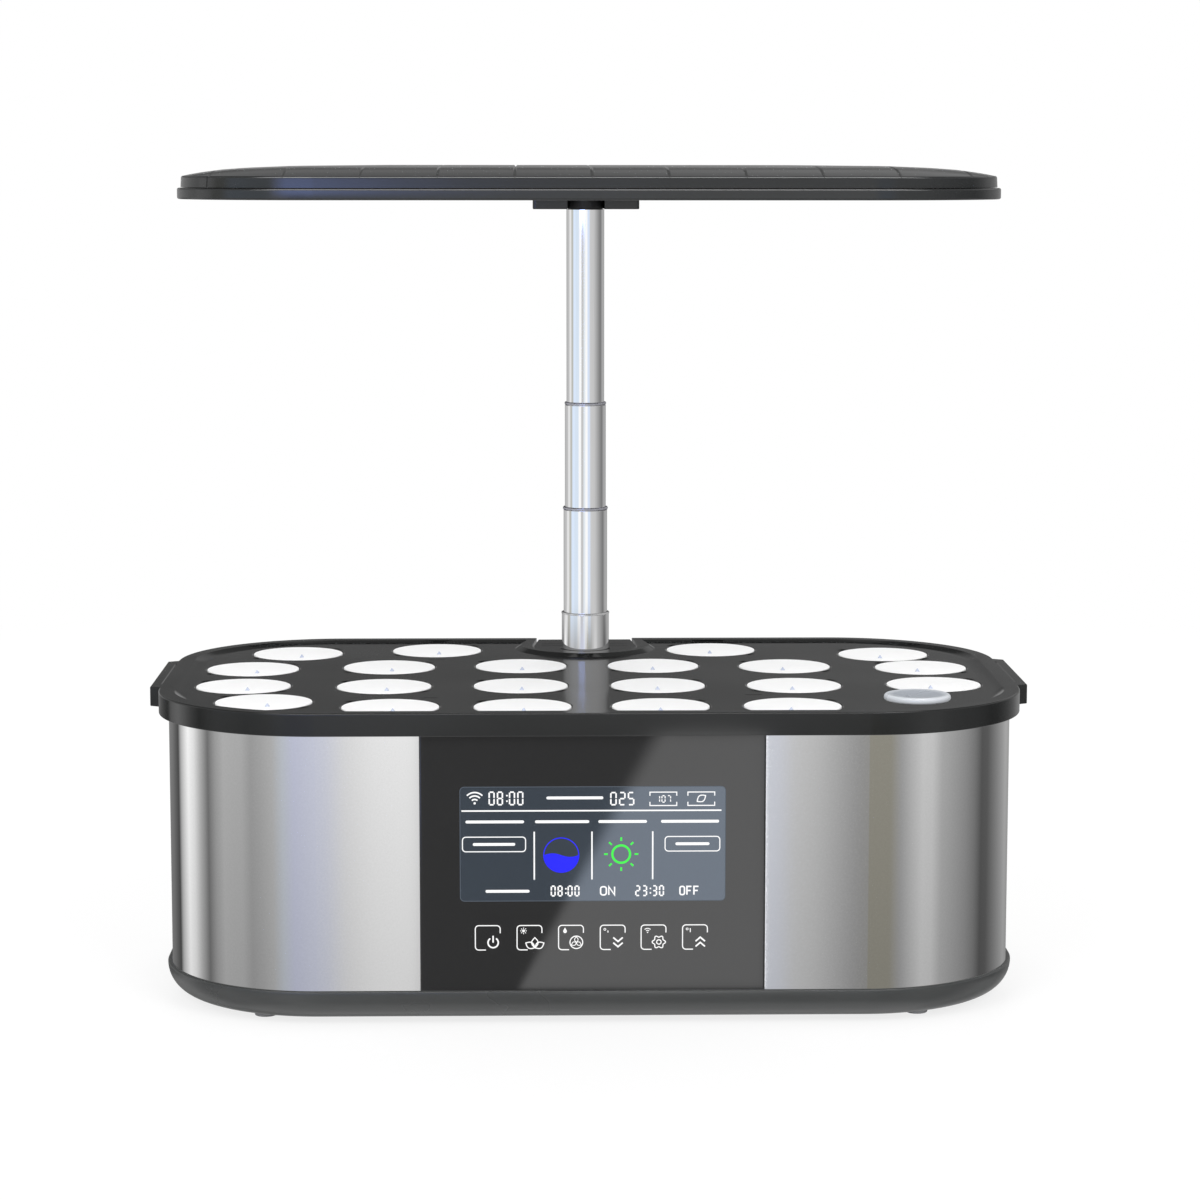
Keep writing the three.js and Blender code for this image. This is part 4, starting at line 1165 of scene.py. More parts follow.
def make_deck():
    mesh = join(deck_blank(), deck_ridge(), deck_handle(-1), deck_handle(1))
    radius, half_width = PLATFORM_RADIUS + PLATFORM_GAP, PLATFORM_BACK_HALF_WIDTH + PLATFORM_GAP
    back = BODY_HALF_DEPTH + RIM_OVERHANG + OVERRUN
    opening = notch_outline(PLATFORM_Y, radius, half_width, back)
    notch = slab(opening, RIM_BOTTOM - OVERRUN, RIM_TOP + OVERRUN)
    places = [centre_of(node) for node in POD_NAMES]
    mesh = cut(mesh, notch, port_cutter(), *[seat_cutter(place) for place in places])
    slots = []
    for x, y in places:
        for turn in notch_turns(x, y):
            slots += finger_notch(x, y, turn, places)
    depths = (DECK_FLOOR - NOTCH_DEPTH / 2, DECK_FLOOR + OVERRUN)
    for x, y in DASH_PLACES:
        slots.append(block(span(x, DASH_LENGTH / 2), span(y, DASH_WIDTH / 2), depths))
    depths = (RIM_TOP - HANDLE_DROP - SEAM_DEPTH, RIM_TOP + OVERRUN)
    for side in (-1, 1):
        across = span(side * (HANDLE_TIP - SEAM_INSET), SEAM_WIDTH / 2)
        slots.append(block(across, span(0, SEAM_HALF_LENGTH), depths))
    mesh = smoothed(cut(mesh, *slots))
    piece("deck_lid", mesh, DECK_BLACK, "deck", ["planting_deck"])


# Pods


def lid_shape():
    """A lid from its own underside, with a rounded edge."""
    profile = [(0, 0), (LID_RADIUS - LID_EASE, 0)] + foot_edge(LID_RADIUS, 0, LID_EASE, 3)
    return lathe(profile + top_edge(LID_RADIUS, LID_THICKNESS, LID_EASE) + [(0, LID_THICKNESS)])


def nub_shape():
    """A small wedge on a lid, higher at its back."""
    half = NUB_HALF_WIDTH
    base = rectangle((-half, half), (-half, half))
    tip = [(x * NUB_TAPER, y * NUB_TAPER + half * NUB_BACK) for x, y in base]
    return loft([raised(base, LID_THICKNESS), raised(tip, LID_THICKNESS + NUB_HEIGHT)])


def cup_shape():
    """A net cup under its lid: a plain band, ribs, rings and a slotted floor."""
    shapes = [cup_ring(-CUP_BAND, 0)]
    for index in range(CUP_RINGS):
        low = -CUP_BAND - (CUP_DEPTH - CUP_BAND) * (index + 1) / CUP_RINGS
        shapes.append(cup_ring(low, low + RING_HEIGHT))
    spokes = CUP_RIBS // 2
    shapes += [placed(cup_rib(), turn_at(360 * index / CUP_RIBS)) for index in range(CUP_RIBS)]
    shapes += [placed(floor_spoke(), turn_at(180 * index / spokes)) for index in range(spokes)]
    return merged(*shapes)


def cup_ring(low, high):
    outer = [(CUP_TOP_RADIUS + CUP_SLOPE * z, z) for z in (low, high)]
    inner = [(radius - CUP_WALL, z) for radius, z in reversed(outer)]
    return lathe(outer + inner, CUP_STEPS, closed=True)


def cup_rib():
    levels = []
    for z in (-CUP_DEPTH, -CUP_BAND / 2):
        outer = CUP_TOP_RADIUS + CUP_SLOPE * z - RIB_INSET
        across = (outer - RIB_THICKNESS, outer)
        levels.append(raised(rectangle(across, span(0, CUP_WALL / 2)), z))
    return loft(levels)


def floor_spoke():
    along = span(0, CUP_BOTTOM_RADIUS - CUP_WALL / 2)
    return block(along, span(0, CUP_WALL / 2), (-CUP_DEPTH, -CUP_DEPTH + CUP_WALL))


def plug_shape():
    """The growing plug: a tapered foam body inside the cup."""
    low, high = -CUP_DEPTH + RING_HEIGHT, -PLUG_DROP
    bottom, top = CUP_BOTTOM_RADIUS - PLUG_GAP, CUP_TOP_RADIUS - PLUG_GAP - PLUG_TAPER
    profile = [(0, low)] + foot_edge(bottom, low, PLUG_EASE)
    return lathe(profile + [(top, high), (0, high)], SMALL_STEPS)


def make_pods():
    parts = [
        (name, smoothed(mesh_from("pod_" + name, shape)), material)
        for name, shape, material in (
            ("lid", lid_shape(), LID_WHITE),
            # The nub's grey-blue colour is painted shade.
            ("nub", nub_shape(), NUB_PAINTED_SHADE),
            ("cup", cup_shape(), CUP_WHITE),
            ("plug", plug_shape(), FOAM),
        )
    ]
    for node in POD_NAMES:
        x, y = centre_of(node)
        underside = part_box(node)[1].z - LID_THICKNESS
        for name, mesh, material in parts:
            place = (x - NUB_LEAN * x, y - NUB_REACH) if name == "nub" else (x, y)
            stands_for = [node] if name == "lid" else ()
            place = (*place, underside)
            piece(f"{node}_{name}", mesh, material, node, stands_for, place)


def painted_rim_highlight(material, centre, radius):
    """A frosted colour with a painted highlight: it grows paler towards the rim of a round piece."""
    tree = Tree(material)
    offset = tree.vector("SUBTRACT", tree.place(), (*centre, 0))
    length = tree.vector("LENGTH", tree.vector("MULTIPLY", offset, (1, 1, 0)), output="Value")
    share = tree.spread(length, *[radius * part for part in CAP_RIM_HIGHLIGHT_SPAN])
    frost = tree.nodes["Principled BSDF"].inputs["Base Color"].links[0].from_socket
    tree.shade(Base_Color=tree.mix(share, frost, CAP_RIM_HIGHLIGHT))


def make_port_cap():
    """A frosted stopper: a plug, and a pebble-like disc with a dished top."""
    node = "water_port_cap"
    low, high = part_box(node)
    radius = radius_of(node)
    flange, inner = high.z - CAP_THICKNESS, CAP_PLUG_RADIUS - CAP_PLUG_EASE
    profile = [(0, low.z), (inner, low.z), (CAP_PLUG_RADIUS, low.z + CAP_PLUG_EASE)]
    profile += [(CAP_PLUG_RADIUS, flange)]
    profile += foot_edge(radius, flange, CAP_FOOT, RIM_STEPS)
    profile += top_edge(radius, high.z, CAP_BROW, ARC_STEPS)
    for step in range(1, CAP_DISH_STEPS + 1):
        share = 1 - step / CAP_DISH_STEPS
        profile.append(((radius - CAP_BROW) * share, high.z - CAP_DISH * (1 - share**2)))
    shape = lathe(profile, ROUND_STEPS, centre_of(node))
    # Painted highlight: the cap's colour grows paler towards its rim.
    painted_rim_highlight(CAP_FROST, centre_of(node), radius)
    piece("port_cap_disc", shape, CAP_FROST, "port_cap", [node])


# Mast


def make_mast_tube(node, name, body, wall):
    low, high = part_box(node)
    outer = radius_of(node)
    profile = foot_edge(outer, low.z, TUBE_EASE, FINE_STEPS)
    profile += top_edge(outer, high.z, TUBE_EASE, FINE_STEPS)
    profile += [(outer - wall, high.z), (outer - wall, low.z)]
    piece(name, mast_lathe(profile, closed=True), MAST_STEEL, body, [node])


def make_tube_ring(node, name, body, tube):
    """A rolled ring, round the tube that slides in it."""
    low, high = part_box(node)
    outer, inner = radius_of(node), radius_of(tube) + MAST_GAP
    half = (high.z - low.z) / 2
    profile = [(inner, low.z), (outer - RING_FOOT_INSET, low.z)]
    profile += arc_points((outer - half, low.z + half), half, *RING_ARC, ARC_STEPS)
    profile += [(outer - RING_TOP_INSET, high.z), (inner, high.z)]
    piece(name, mast_lathe(profile, closed=True), RING_STEEL, body, [node])


def make_collar():
    """The fixed outer tube, with a rolled lip and a finely toothed ring inside its mouth."""
    low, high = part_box("pole_tube_base")
    outer = radius_of("pole_tube_base")
    inner, body, half_lip = outer - COLLAR_WALL, outer - COLLAR_SHRINK, COLLAR_LIP / 2
    profile = [(inner, low.z), (body, low.z), (body, high.z - COLLAR_LIP)]
    profile += arc_points((outer - half_lip, high.z - half_lip), half_lip, *COLLAR_ARC, ARC_STEPS)
    profile += [(inner, high.z)]
    across = (radius_of("pole_tube_lower") + TOOTH_GAP, inner + TOOTH_ROOT)
    tooth = block(across, span(0, TOOTH_HALF_WIDTH), (high.z - TOOTH_FOOT, high.z - TOOTH_DROP))
    turns = [360 * index / COLLAR_TEETH for index in range(COLLAR_TEETH)]
    teeth = [placed(tooth, turn_at(turn, (0, MAST_Y))) for turn in turns]
    shape = merged(mast_lathe(profile, closed=True), *teeth)
    piece("mast_collar", shape, MAST_STEEL, "root", ["pole_tube_base"])


def make_platform():
    low, top = PLATFORM_LOW.z, PLATFORM_HIGH.z
    shape = (PLATFORM_Y, PLATFORM_RADIUS, PLATFORM_BACK_HALF_WIDTH, PLATFORM_HIGH.y)
    plate = slab(notch_outline(*shape), top - PLATFORM_THICKNESS, top, PLATFORM_EASE)
    bore = radius_of("pole_tube_base") + MAST_GAP
    side, tower_top = bore + TOWER_WALL, top - PLATFORM_THICKNESS / 2
    tower = mast_lathe([(0, low), (side, low), (side, tower_top), (0, tower_top)])
    mesh = join(mesh_from("platform_fine", plate), tower)
    floor, mouth = low + TOWER_FLOOR, top - PLATFORM_EASE
    profile = [(0, floor), (bore, floor), (bore, mouth), (bore + OVERRUN, mouth + OVERRUN)]
    hole = mast_lathe(profile + [(0, mouth + OVERRUN)])
    half = PLATE_LINE_WIDTH / 2
    across = span(0, PLATFORM_BACK_HALF_WIDTH - OVERRUN)
    lines = [block(across, span(y, half), (top - half, top + OVERRUN)) for y in PLATE_LINES]
    mesh = smoothed(cut(cut(mesh, hole), *lines))
    piece("mast_platform", mesh, PLATE_BLACK, "root", ["pole_socket"])


def make_mast():
    make_platform()
    make_collar()
    make_mast_tube("pole_tube_lower", "mast_tube_1", "mast_lower", LOWER_TUBE_WALL)
    make_mast_tube("pole_tube_middle", "mast_tube_2", "mast_middle", TUBE_WALL)
    make_mast_tube("pole_tube_upper", "mast_tube_3", "lamp", TUBE_WALL)
    make_tube_ring("lower_tube_ring", "mast_ring_1", "mast_lower", "pole_tube_middle")
    make_tube_ring("middle_tube_ring", "mast_ring_2", "mast_middle", "pole_tube_upper")


# Lamp. DOME_SHARES gives the dome's rise by the distance in from its edge, both as shares.

DOME_SHARES = ((0, 0), (0.03, 0.12), (0.09, 0.32), (0.19, 0.57), (0.32, 0.75), (0.55, 0.92), (1, 1))


def dome_rise(reach):
    """Height of the dome over the shell's wall, at a distance in from its edge."""
    share = min(max(reach / DOME_RUN, 0), 1)
    for (low, low_rise), (high, high_rise) in zip(DOME_SHARES, DOME_SHARES[1:]):
        if share <= high:
            part = (share - low) / (high - low)
            return DOME_RISE * (low_rise + (high_rise - low_rise) * part)
    return DOME_RISE


def past_corners(x, y):
    """How far a point lies past the start of the lamp's round corners, along X and Y."""
    straight = (LAMP_HALF_WIDTH - LAMP_CORNER, LAMP_HALF_DEPTH - LAMP_CORNER)
    return abs(x) - straight[0], abs(y - LAMP_Y) - straight[1]


def edge_distance(x, y):
    """How far a point lies in from the foot of the dome."""
    across, along = past_corners(x, y)
    reach = math.hypot(across, along) if across > 0 and along > 0 else max(across, along)
    return SHELL_CORNER - reach - SHELL_DRAFT - SHELL_EDGE


def corner_inset(past):
    """How far the shell's outline draws in, this far past the start of a corner."""
    return SHELL_CORNER - math.sqrt(max(SHELL_CORNER**2 - max(past, 0) ** 2, 0))


def groove_cutter(start, end):
    """A vee along a straight line on the dome."""
    along = Vector(end) - Vector(start)
    above = OVERRUN / 4
    half_width = GROOVE_WIDTH / 2 * (1 + above / GROOVE_DEPTH)
    side = Vector((-along.y, along.x)).normalized() * half_width
    levels = []
    for step in range(GROOVE_STEPS + 1):
        here = Vector(start) + along * step / GROOVE_STEPS
        z = SHELL_LOW.z + SHELL_WALL + dome_rise(edge_distance(*here))
        top, foot = z + above, z - GROOVE_DEPTH
        levels.append([(*(here - side), top), (*here, foot), (*(here + side), top)])
    return loft(levels)


def shell_blank():
    """A wall with a little draft, a rounded edge and a shallow dome."""
    wall_top = SHELL_LOW.z + SHELL_WALL
    inner = SHELL_INSET + SHELL_DRAFT + SHELL_EDGE
    levels = [raised(lamp_outline(SHELL_INSET), SHELL_LOW.z)]
    for run, rise in arc_points((0, 0), SHELL_EDGE, 0, SHELL_EDGE_TURN, RIM_STEPS):
        levels.append(raised(lamp_outline(inner - run), wall_top - SHELL_EDGE + rise))
    for step in range(1, DOME_STEPS + 1):
        reach = DOME_RUN * (step / DOME_STEPS) ** DOME_SPACING
        levels.append(raised(lamp_outline(inner + reach), wall_top + dome_rise(reach)))
    return mesh_from("shell_fine", loft(levels))


def wall_seam(x):
    """A fine upright slot in the shell's wall, in its left front corner."""
    centre = (LAMP_CORNER - LAMP_HALF_WIDTH, LAMP_Y - LAMP_HALF_DEPTH + LAMP_CORNER)
    turn = math.degrees(math.acos((centre[0] - x) / SHELL_CORNER))
    half = LAMP_SEAM_WIDTH / 2
    across = (SHELL_CORNER - SHELL_EDGE - half, SHELL_CORNER + half)
    heights = (SHELL_LOW.z + half, SHELL_LOW.z + SHELL_WALL + half)
    return placed(block(across, (-half, half), heights), turn_at(180 + turn, centre))


def make_shell():
    mesh = cut(shell_blank(), wall_seam(TILE_COLUMNS[0] * TILE_WIDTH - SHELL_EDGE))
    grooves = []
    for x in (column * TILE_WIDTH for column in TILE_COLUMNS):
        reach = LAMP_HALF_DEPTH - SHELL_INSET - corner_inset(past_corners(x, 0)[0])
        grooves.append(groove_cutter((x, LAMP_Y - reach), (x, LAMP_Y + reach)))
    mesh = cut(mesh, *grooves)
    grooves = []
    for y in (LAMP_Y + offset for offset in TILE_ROWS):
        reach = LAMP_HALF_WIDTH - SHELL_INSET - corner_inset(past_corners(0, y)[1])
        grooves.append(groove_cutter((-reach, y), (reach, y)))
    mesh = smoothed(cut(mesh, *grooves), GROOVE_ANGLE)
    piece("lamp_hood", mesh, LAMP_BLACK, "lamp", ["lamp_shell"])


def make_lamp_frame():
    low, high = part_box("lamp_window")
    below, above = LAMP_LOW.z - OVERRUN, LAMP_HIGH.z + OVERRUN
    ledge = WINDOW_LEDGE - WINDOW_GAP
    inner = (high.x - ledge, low.y + ledge, high.y - ledge, WINDOW_CORNER)
    outer = [value + sign * WINDOW_LEDGE for value, sign in zip(inner, (1, -1, 1, 1))]
    rim = slab(lamp_outline(0), LAMP_LOW.z, LAMP_HIGH.z, LAMP_EASE)
    mesh = cut(mesh_from("lamp_frame_fine", rim), slab(outline(*inner), below, above))
    mesh = smoothed(cut(mesh, slab(outline(*outer), LAMP_LOW.z + RIM_FLOOR, above)))
    piece("lamp_rim", mesh, LAMP_BLACK, "lamp", ["lamp_frame"])
    pane = outline(high.x, low.y, high.y, WINDOW_CORNER + WINDOW_LEDGE)
    pane = slab(pane, low.z, high.z, PANE_EASE)
    piece("lamp_pane", pane, WINDOW_CLEAR, "lamp", ["lamp_window"])


def make_led_board():
    low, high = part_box("led_board")
    board = slab(outline(high.x, low.y, high.y, BOARD_CORNER), low.z, high.z, BOARD_EASE)
    piece("lamp_light_board", board, LAMP_BOARD, "lamp", ["led_board"])
    heights = (low.z - CHIP_PROUD, low.z + CHIP_HALF / 4)
    chips = []
    for row in range(CHIP_ROWS):
        y = low.y + (high.y - low.y) * (row + 0.5) / CHIP_ROWS
        for column in range(CHIP_COLUMNS):
            x = low.x + (high.x - low.x) * (column + 0.5) / CHIP_COLUMNS
            if edge_inside(x, y, low, high):
                chips.append(block(span(x, CHIP_HALF), span(y, CHIP_HALF), heights))
    piece("lamp_light_chips", merged(*chips), LED_YELLOW, "lamp")


def edge_inside(x, y, low, high):
    """True where a point lies well inside the board's round corners."""
    across = abs(x) - (high.x - WINDOW_CORNER)
    along = abs(y - (low.y + high.y) / 2) - ((high.y - low.y) / 2 - WINDOW_CORNER)
    in_corner = across > 0 and along > 0
    return not in_corner or math.hypot(across, along) < WINDOW_CORNER - CHIP_MARGIN


def make_bracket():
    low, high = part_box("lamp_bracket")
    below, above = low.z - OVERRUN, high.z + OVERRUN
    corners = outline(high.x, low.y, high.y, BRACKET_CORNER, RIM_STEPS)
    mesh = mesh_from("bracket_fine", slab(corners, low.z, high.z, BRACKET_EASE))
    radius = radius_of("pole_head") + HEAD_SLOT_GAP
    slot = arc_points((0, MAST_Y), radius, 0, 180, SCREW_STEPS)
    cutters = [slab([(radius, low.y - OVERRUN), *slot, (-radius, low.y - OVERRUN)], below, above)]
    pockets = []
    for node in SCREWS:
        centre = centre_of(node)
        cutters.append(slab(circle(SCREW_BORE, SCREW_STEPS, centre), below, above))
        pocket_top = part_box(node)[0].z + HEAD_HEIGHT + HEAD_GAP
        pockets.append(slab(circle(HEAD_POCKET, SCREW_STEPS, centre), below, pocket_top))
    mesh = smoothed(cut(cut(mesh, *cutters), *pockets))
    piece("bracket_plate", mesh, LAMP_BLACK, "lamp", ["lamp_bracket"])


def make_screws():
    for node in SCREWS:
        low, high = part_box(node)
        socket, under = low.z + SCREW_EASE, low.z + HEAD_HEIGHT
        profile = [(0, socket), (SCREW_SOCKET[0], socket), (SCREW_SOCKET[1], low.z)]
        profile += foot_edge(radius_of(node), low.z, SCREW_EASE) + [(radius_of(node), under)]
        profile += [(SCREW_SHANK, under), (SCREW_SHANK, high.z - SCREW_TIP), (0, high.z)]
        shape = lathe(profile, SCREW_STEPS, centre_of(node))
        piece(node + "_fine", shape, MAST_STEEL, "lamp", [node])


def make_head():
    low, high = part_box("pole_head")
    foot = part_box("lamp_bracket")[0].z
    radius = radius_of("pole_head")
    plug = radius_of("pole_tube_upper") - TUBE_WALL - MAST_GAP
    profile = [(0, low.z), (plug - HEAD_PLUG_EASE, low.z), (plug, low.z + HEAD_PLUG_EASE)]
    profile += [(plug, foot), (radius, foot), *top_edge(radius, high.z, HEAD_EASE), (0, high.z)]
    shape = mast_lathe(profile, steps=CUP_STEPS)
    piece("mast_head_cap", shape, INNER_BLACK, "lamp", ["pole_head"])


def make_lamp():
    make_shell()
    make_lamp_frame()
    make_led_board()
    make_bracket()
    make_screws()
    make_head()


# Finishes of the solids that stay

FINISHES = {
    BOARD: ("control_board", "touch_board"),
    SCREEN: ("display_module",),
    INNER_BLACK: ("power_inlet", "pump_housing", "pump_cover"),
    TANK_GREY: ("water_tank",),
    CUP_WHITE: ("pump_outlet", "level_float"),
    BUSH: (
        "pump_impeller",
        "float_stem",
        "lower_slide_bush",
        "middle_slide_bush",
        "upper_slide_bush",
    ),
}
MIRRORED = ("mast_", "lamp_", "bracket_", "lower_slide", "middle_slide", "upper_slide")


def finish_solids():
    for material, nodes in FINISHES.items():
        for node in nodes:
            slots = frame["nodes"][node].data.materials
            slots.clear()
            slots.append(material)


def quiet_mirrors():
    """The deck's gloss mirrors the mast and the lamp, and the polished mast none of the deck."""
    for thing in bpy.data.objects:
        if thing.type == "MESH" and not thing.name.startswith(MIRRORED):
            thing.visible_glossy = False


# Stage

FLOOR_RADIUS = 30
FLOOR_THICKNESS = 0.01
FLOOR_DROP = 0.0002
FLOOR_NEAR = 0.5
FLOOR_FAR = 1.4
FLOOR_WHITE = 0.8
FLOOR_COLOUR = (0.95, 0.95, 0.95, 1)
WORLD_LEVEL = 0.75
KEY_POWER = 34
BACK_POWER = 28
LIGHT_TARGET = (0, 0, 0.15)

# Studio walls that shiny surfaces see, out to STUDIO_LOW and STUDIO_HIGH degrees: azimuth from the
# front towards +X in degrees, and a grey or a colour. From the lowest up they are BELOW_WALLS to
# BELOW_SPLIT, LOW_WALLS to WALL_SPLIT, LEVEL_WALLS to UPPER_SPLIT, and UPPER_WALLS. FRONT_WALLS is
# the middle of LOW_WALLS, drawn finer. HEIGHTS gives a factor on the light by elevation.
STUDIO_RADIUS = 200
STUDIO_STEPS = 128
STUDIO_LOW = -60
STUDIO_HIGH = 72
BELOW_SPLIT = (-18.5, -17)
WALL_SPLIT = (-8.2, -7.4)
UPPER_SPLIT = (5.5, 7.3)
FRONT_SPAN = (-6, 8)
FRONT_FADE = 0.1
LOW_WALLS = (
    (-180, 0.24), (-150, 0.17), (-135, 0.07), (-130, 0.44), (-118, 0.94), (-110, 0.78),
    (-102, 0.44), (-93, 0.16), (-85, 0.33), (-77, 0.43), (-61, 0.41), (-53, 0.33), (-45, 0.37),
    (-36, 0.43), (-28, (0.49, 0.52, 0.57)), (-20, (0.51, 0.53, 0.65)), (-4, (0.57, 0.59, 0.69)),
    (8, (0.27, 0.26, 0.22)), (22, (0.27, 0.26, 0.22)), (30, 0.33), (38, 0.45), (47, 0.57),
    (55, 0.55), (63, 0.4), (86, 0.26), (96, 0.18), (104, 0.09), (112, 0.1), (132, 0.26),
    (148, 0.38), (180, 0.24),
)
FRONT_WALLS = (
    (-6, (0.56, 0.58, 0.69)), (-3.7, (0.57, 0.59, 0.69)), (-3.3, 0.7), (-2.8, 0.8), (-2, 0.85),
    (-1.8, 0.5), (3.8, 0.5), (4, (0.62, 0.64, 0.69)), (4.3, (0.6, 0.62, 0.69)), (4.6, 0.55),
    (5, 0.5), (5.5, 0.37), (5.8, 0.29), (6.5, (0.27, 0.26, 0.22)), (8, (0.27, 0.26, 0.22)),
)
LEVEL_WALLS = (
    (-180, 0.35), (-140, 0.5), (-118, 0.55), (-112, 0.8), (-98, 0.8), (-92, (0.5, 0.5, 0.46)),
    (-84, (0.5, 0.5, 0.46)), (-76, (0.73, 0.84, 1)), (-66, (0.73, 0.84, 1)),
    (-58, (0.7, 0.8, 0.92)), (-42, (0.7, 0.8, 0.92)), (-36, 1), (-27, 1), (-22, 0.56), (-14, 0.56),
    (-9, (0.78, 0.84, 0.89)), (-4, (0.78, 0.84, 0.89)), (1, 1), (10, 1), (14, (0.7, 0.79, 0.95)),
    (22, (0.7, 0.79, 0.95)), (29, 0.61), (52, 0.56), (71, 0.4), (86, 0.29), (104, 0.19),
    (127, 0.41), (180, 0.35),
)
UPPER_WALLS = (
    (-180, 0.12), (-150, 0.12), (-110, 0.3), (-60, 0.42), (60, 0.42), (110, 0.35), (150, 0.25),
    (166, 0.19), (173, 0.16), (180, 0.12),
)
BELOW_WALLS = (
    (-180, 0.5), (-158, 0.3), (-128, 0.74), (-104, 0.42), (-72, 0.78), (-52, 0.5), (-25, 0.9),
    (-7, 0.8), (-3, 0.6), (-1, 0.45), (4, 0.38), (30, 0.36), (52, 0.6), (78, 0.32), (108, 0.7),
    (134, 0.3), (160, 0.62), (180, 0.5),
)
HEIGHTS = (
    (-60, 1), (-18.5, 1), (-17, 0.8), (-14, 0.87), (-11.6, 1), (-9.4, 1.12), (-8.2, 1.14),
    (-7.4, 1), (10, 1), (13, 2), (26, 2), (30, 1),
)

# Bright windows in the walls: where each fades in and out by azimuth and by elevation, and its
# colour. The first is a blue one, the second a softbox.
WINDOWS = (
    (((-40, -27), (-3.1, -2.1)), ((-0.8, -0.7), (6.8, 7.2)), (2, 2.6, 5.2, 1)),
    (((-80, -70), (70, 80)), ((57, 60), (68, 71)), (5, 5, 5, 1)),
)

# A card that the gloss panel mirrors, dim on its left and bright on its right, in x and z. The two
# parts meet along a soft slanting edge, from the card's foot to its head.
CARD_Y = -400 * MM
CARD_X = (-93.1 * MM, 103.3 * MM)
CARD_Z = (-50 * MM, 97.5 * MM)
CARD_EDGE_X = (-36.8 * MM, 42.2 * MM)
CARD_SOFT = (3 * MM, 8 * MM)
CARD_LEVELS = (0.5, 2.3)
CARD_REACH = 290 * MM

# A light strip before and above the lamp, for the bright line along its edge. The card and the
# strip are each seen only from within their reach.
STRIP_X = (-700 * MM, 700 * MM)
STRIP_Z = (600 * MM, 900 * MM)
STRIP_LEVEL = 10
STRIP_REACH = 600 * MM


def make_world():
    """White to the eye and to shiny surfaces, and a plain level of light to the rest."""
    world = bpy.data.worlds.new("studio")
    bpy.context.scene.world = world
    tree = Tree(world)
    level = (WORLD_LEVEL, WORLD_LEVEL, WORLD_LEVEL, 1)
    seen = tree.mix(tree.shiny_rays(), level, (1, 1, 1, 1))
    tree.feed(tree.nodes["Background"], {"Color": seen})


def stage_light(name, shape, reach=None):
    """A glowing backdrop that only shiny surfaces see, from within its reach."""
    mesh = mesh_from(name, shape)
    thing = new_object(name, mesh)
    for kind in ("camera", "diffuse", "transmission", "volume_scatter", "shadow"):
        setattr(thing, "visible_" + kind, False)
    tree = Tree(bpy.data.materials.new(name))
    tree.owner.cycles.emission_sampling = "NONE"
    mesh.materials.append(tree.owner)
    tree.nodes.clear()
    glow = tree.add("Emission", {})
    surface = glow
    if reach is not None:
        length = tree.add("LightPath", {}, "Ray Length")
        far = tree.math("GREATER_THAN", length, reach)
        surface = tree.mix_shader(far, glow, tree.add("BsdfTransparent", {}))
    tree.feed(tree.nodes.new("ShaderNodeOutputMaterial"), {"Surface": surface})
    return tree, glow.node


def make_studio():
    """Grey walls all round, with lighter and darker parts."""
    points = circle(STUDIO_RADIUS, STUDIO_STEPS)
    low, high = (STUDIO_RADIUS * math.tan(math.radians(t)) for t in (STUDIO_LOW, STUDIO_HIGH))
    vertices, faces = loft([raised(points, low), raised(points, high)])
    tree, glow = stage_light("studio_walls", (vertices, faces[:-2]))
    x, y, z = tree.axes()
    azimuth = tree.math("ARCTAN2", x, tree.math("MULTIPLY", y, -1))
    elevation = tree.math("ARCTANGENT", tree.math("DIVIDE", z, STUDIO_RADIUS))
    low, high = FRONT_SPAN
    in_front = tree.window(azimuth, (low, low + FRONT_FADE), (high - FRONT_FADE, high))
    front = tree.angle_ramp(azimuth, FRONT_WALLS)
    walls = tree.mix(in_front, tree.angle_ramp(azimuth, LOW_WALLS), front)
    for split, stops in ((WALL_SPLIT, LEVEL_WALLS), (UPPER_SPLIT, UPPER_WALLS)):
        walls = tree.mix(tree.share(elevation, split), walls, tree.angle_ramp(azimuth, stops))
    below = tree.angle_ramp(azimuth, BELOW_WALLS)
    walls = tree.mix(tree.share(elevation, BELOW_SPLIT), below, walls)
    for across, up, colour in WINDOWS:
        inside = tree.math("MULTIPLY", tree.window(azimuth, *across), tree.window(elevation, *up))
        walls = tree.mix(inside, walls, colour)
    half = tree.angle_ramp(elevation, [(degrees, factor / 2) for degrees, factor in HEIGHTS])
    tree.feed(glow, {"Color": walls, "Strength": tree.math("MULTIPLY", half, 2)})


def stage_card(name, x_range, z_range, reach):
    """An upright sheet before the object, seen from within its reach."""
    corners = [(x, CARD_Y, z) for x, z in rectangle(x_range, z_range)]
    return stage_light(name, (corners, [(0, 1, 2, 3)]), reach)


def make_card():
    tree, glow = stage_card("panel_card", CARD_X, CARD_Z, CARD_REACH)
    x, _, z = tree.axes()
    edge, soft = (tree.spread(z, *CARD_Z, *values) for values in (CARD_EDGE_X, CARD_SOFT))
    sides = (tree.math("SUBTRACT", edge, soft), tree.math("ADD", edge, soft))
    level = tree.spread(x, *sides, *CARD_LEVELS, interpolation_type="SMOOTHSTEP")
    tree.feed(glow, {"Strength": level})


def make_strip():
    glow = stage_card("lamp_strip", STRIP_X, STRIP_Z, STRIP_REACH)[1]
    glow.inputs["Strength"].default_value = STRIP_LEVEL


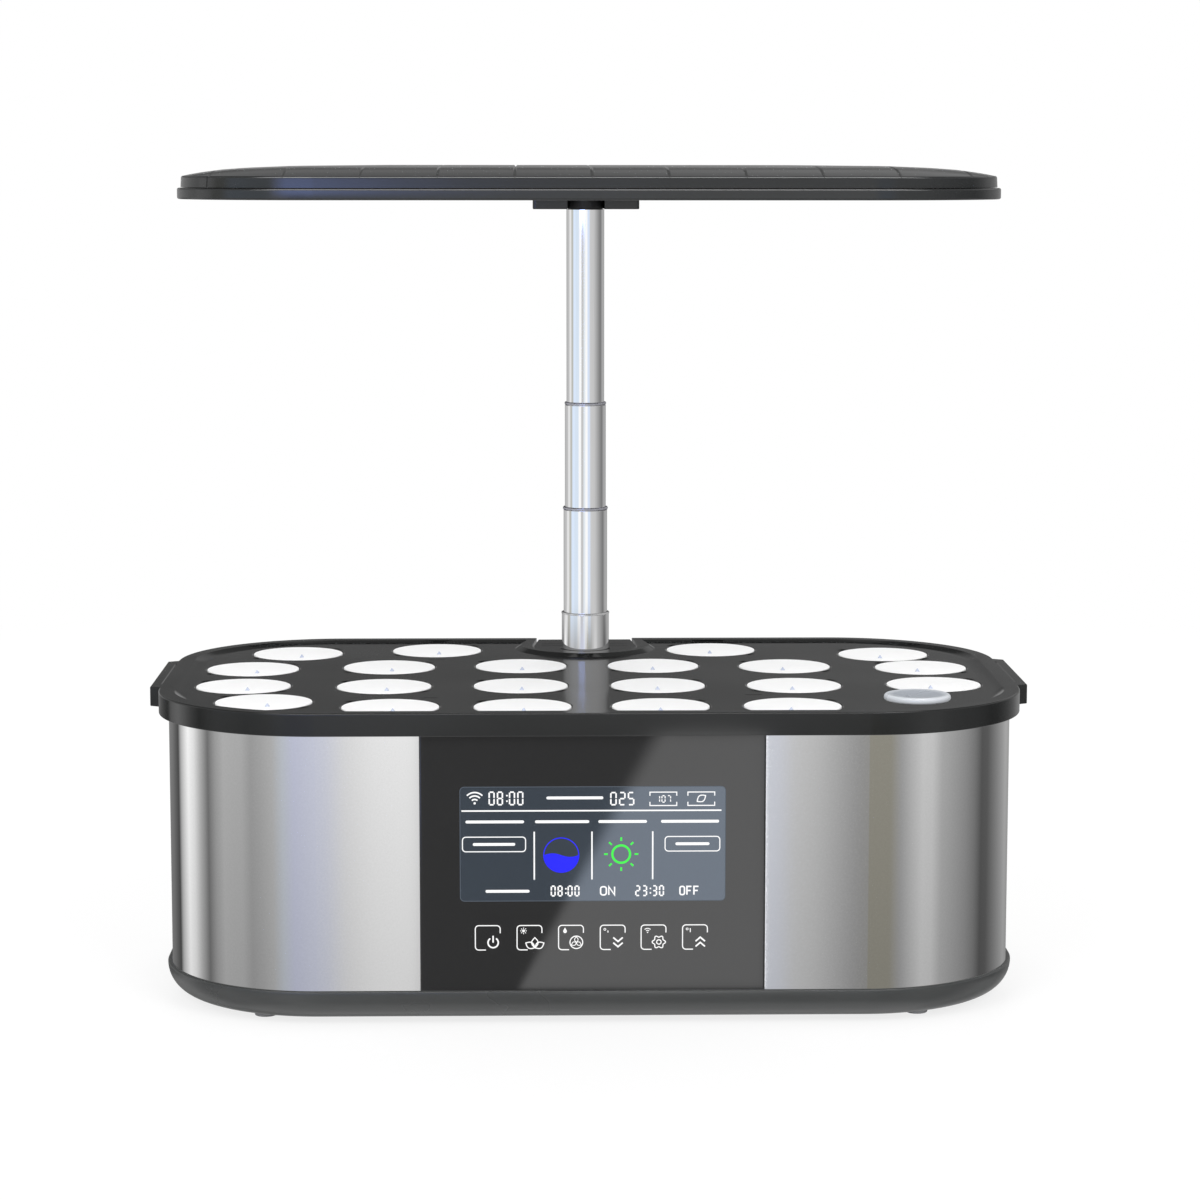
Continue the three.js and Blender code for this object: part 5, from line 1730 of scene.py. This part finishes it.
def make_floor():
    """Pale paper that takes the shadow near the object and goes to white further out."""
    mesh = mesh_from("floor", slab(circle(FLOOR_RADIUS, STUDIO_STEPS), -FLOOR_THICKNESS, 0))
    floor = new_object("floor", mesh)
    tree = new_material("floor_paper")
    tree.shade(Base_Color=FLOOR_COLOUR, Roughness=0.9, Specular_IOR_Level=0)
    length = tree.vector("LENGTH", tree.place(), output="Value")
    white = tree.spread(length, FLOOR_NEAR, FLOOR_FAR, FLOOR_WHITE)
    seen = tree.math("MULTIPLY", tree.shiny_rays(), white)
    paper = tree.nodes["Principled BSDF"].outputs[0]
    mixed = tree.mix_shader(seen, paper, tree.add("Emission", {}))
    tree.feed(tree.nodes["Material Output"], {"Surface": mixed})
    mesh.materials.append(tree.owner)
    floor.visible_glossy = False
    floor.location.z = -FLOOR_DROP


def area_light(name, place, size, power):
    data = bpy.data.lights.new(name, "AREA")
    data.shape = "RECTANGLE"
    data.size, data.size_y = size
    data.energy = power
    light = new_object(name, data)
    light.location = place
    direction = Vector(LIGHT_TARGET) - Vector(place)
    light.rotation_mode = "QUATERNION"
    light.rotation_quaternion = direction.to_track_quat("-Z", "Y")
    light.visible_glossy = False


def make_lights():
    area_light("key_left", (-1.3, -2.2, 1.9), (1.4, 1.4), KEY_POWER)
    area_light("key_right", (1.3, -2.2, 1.9), (1.4, 1.4), KEY_POWER)
    area_light("back", (0, 2.4, 1.8), (2.0, 1.2), BACK_POWER)


def make_camera():
    data = bpy.data.cameras.new("camera")
    data.lens = CAMERA_LENS
    data.sensor_width = SENSOR_WIDTH
    camera = new_object("camera", data)
    camera.location = CAMERA_PLACE
    camera.rotation_euler = [math.radians(turn) for turn in CAMERA_TURN]
    bpy.context.scene.camera = camera


make_camera()
make_tray()
make_feet()
make_band()
make_panel()
make_display()
make_deck()
make_pods()
make_port_cap()
make_mast()
make_lamp()
finish_solids()
quiet_mirrors()
make_world()
make_studio()
make_card()
make_strip()
make_floor()
make_lights()
bpy.context.scene.view_settings.view_transform = "Standard"
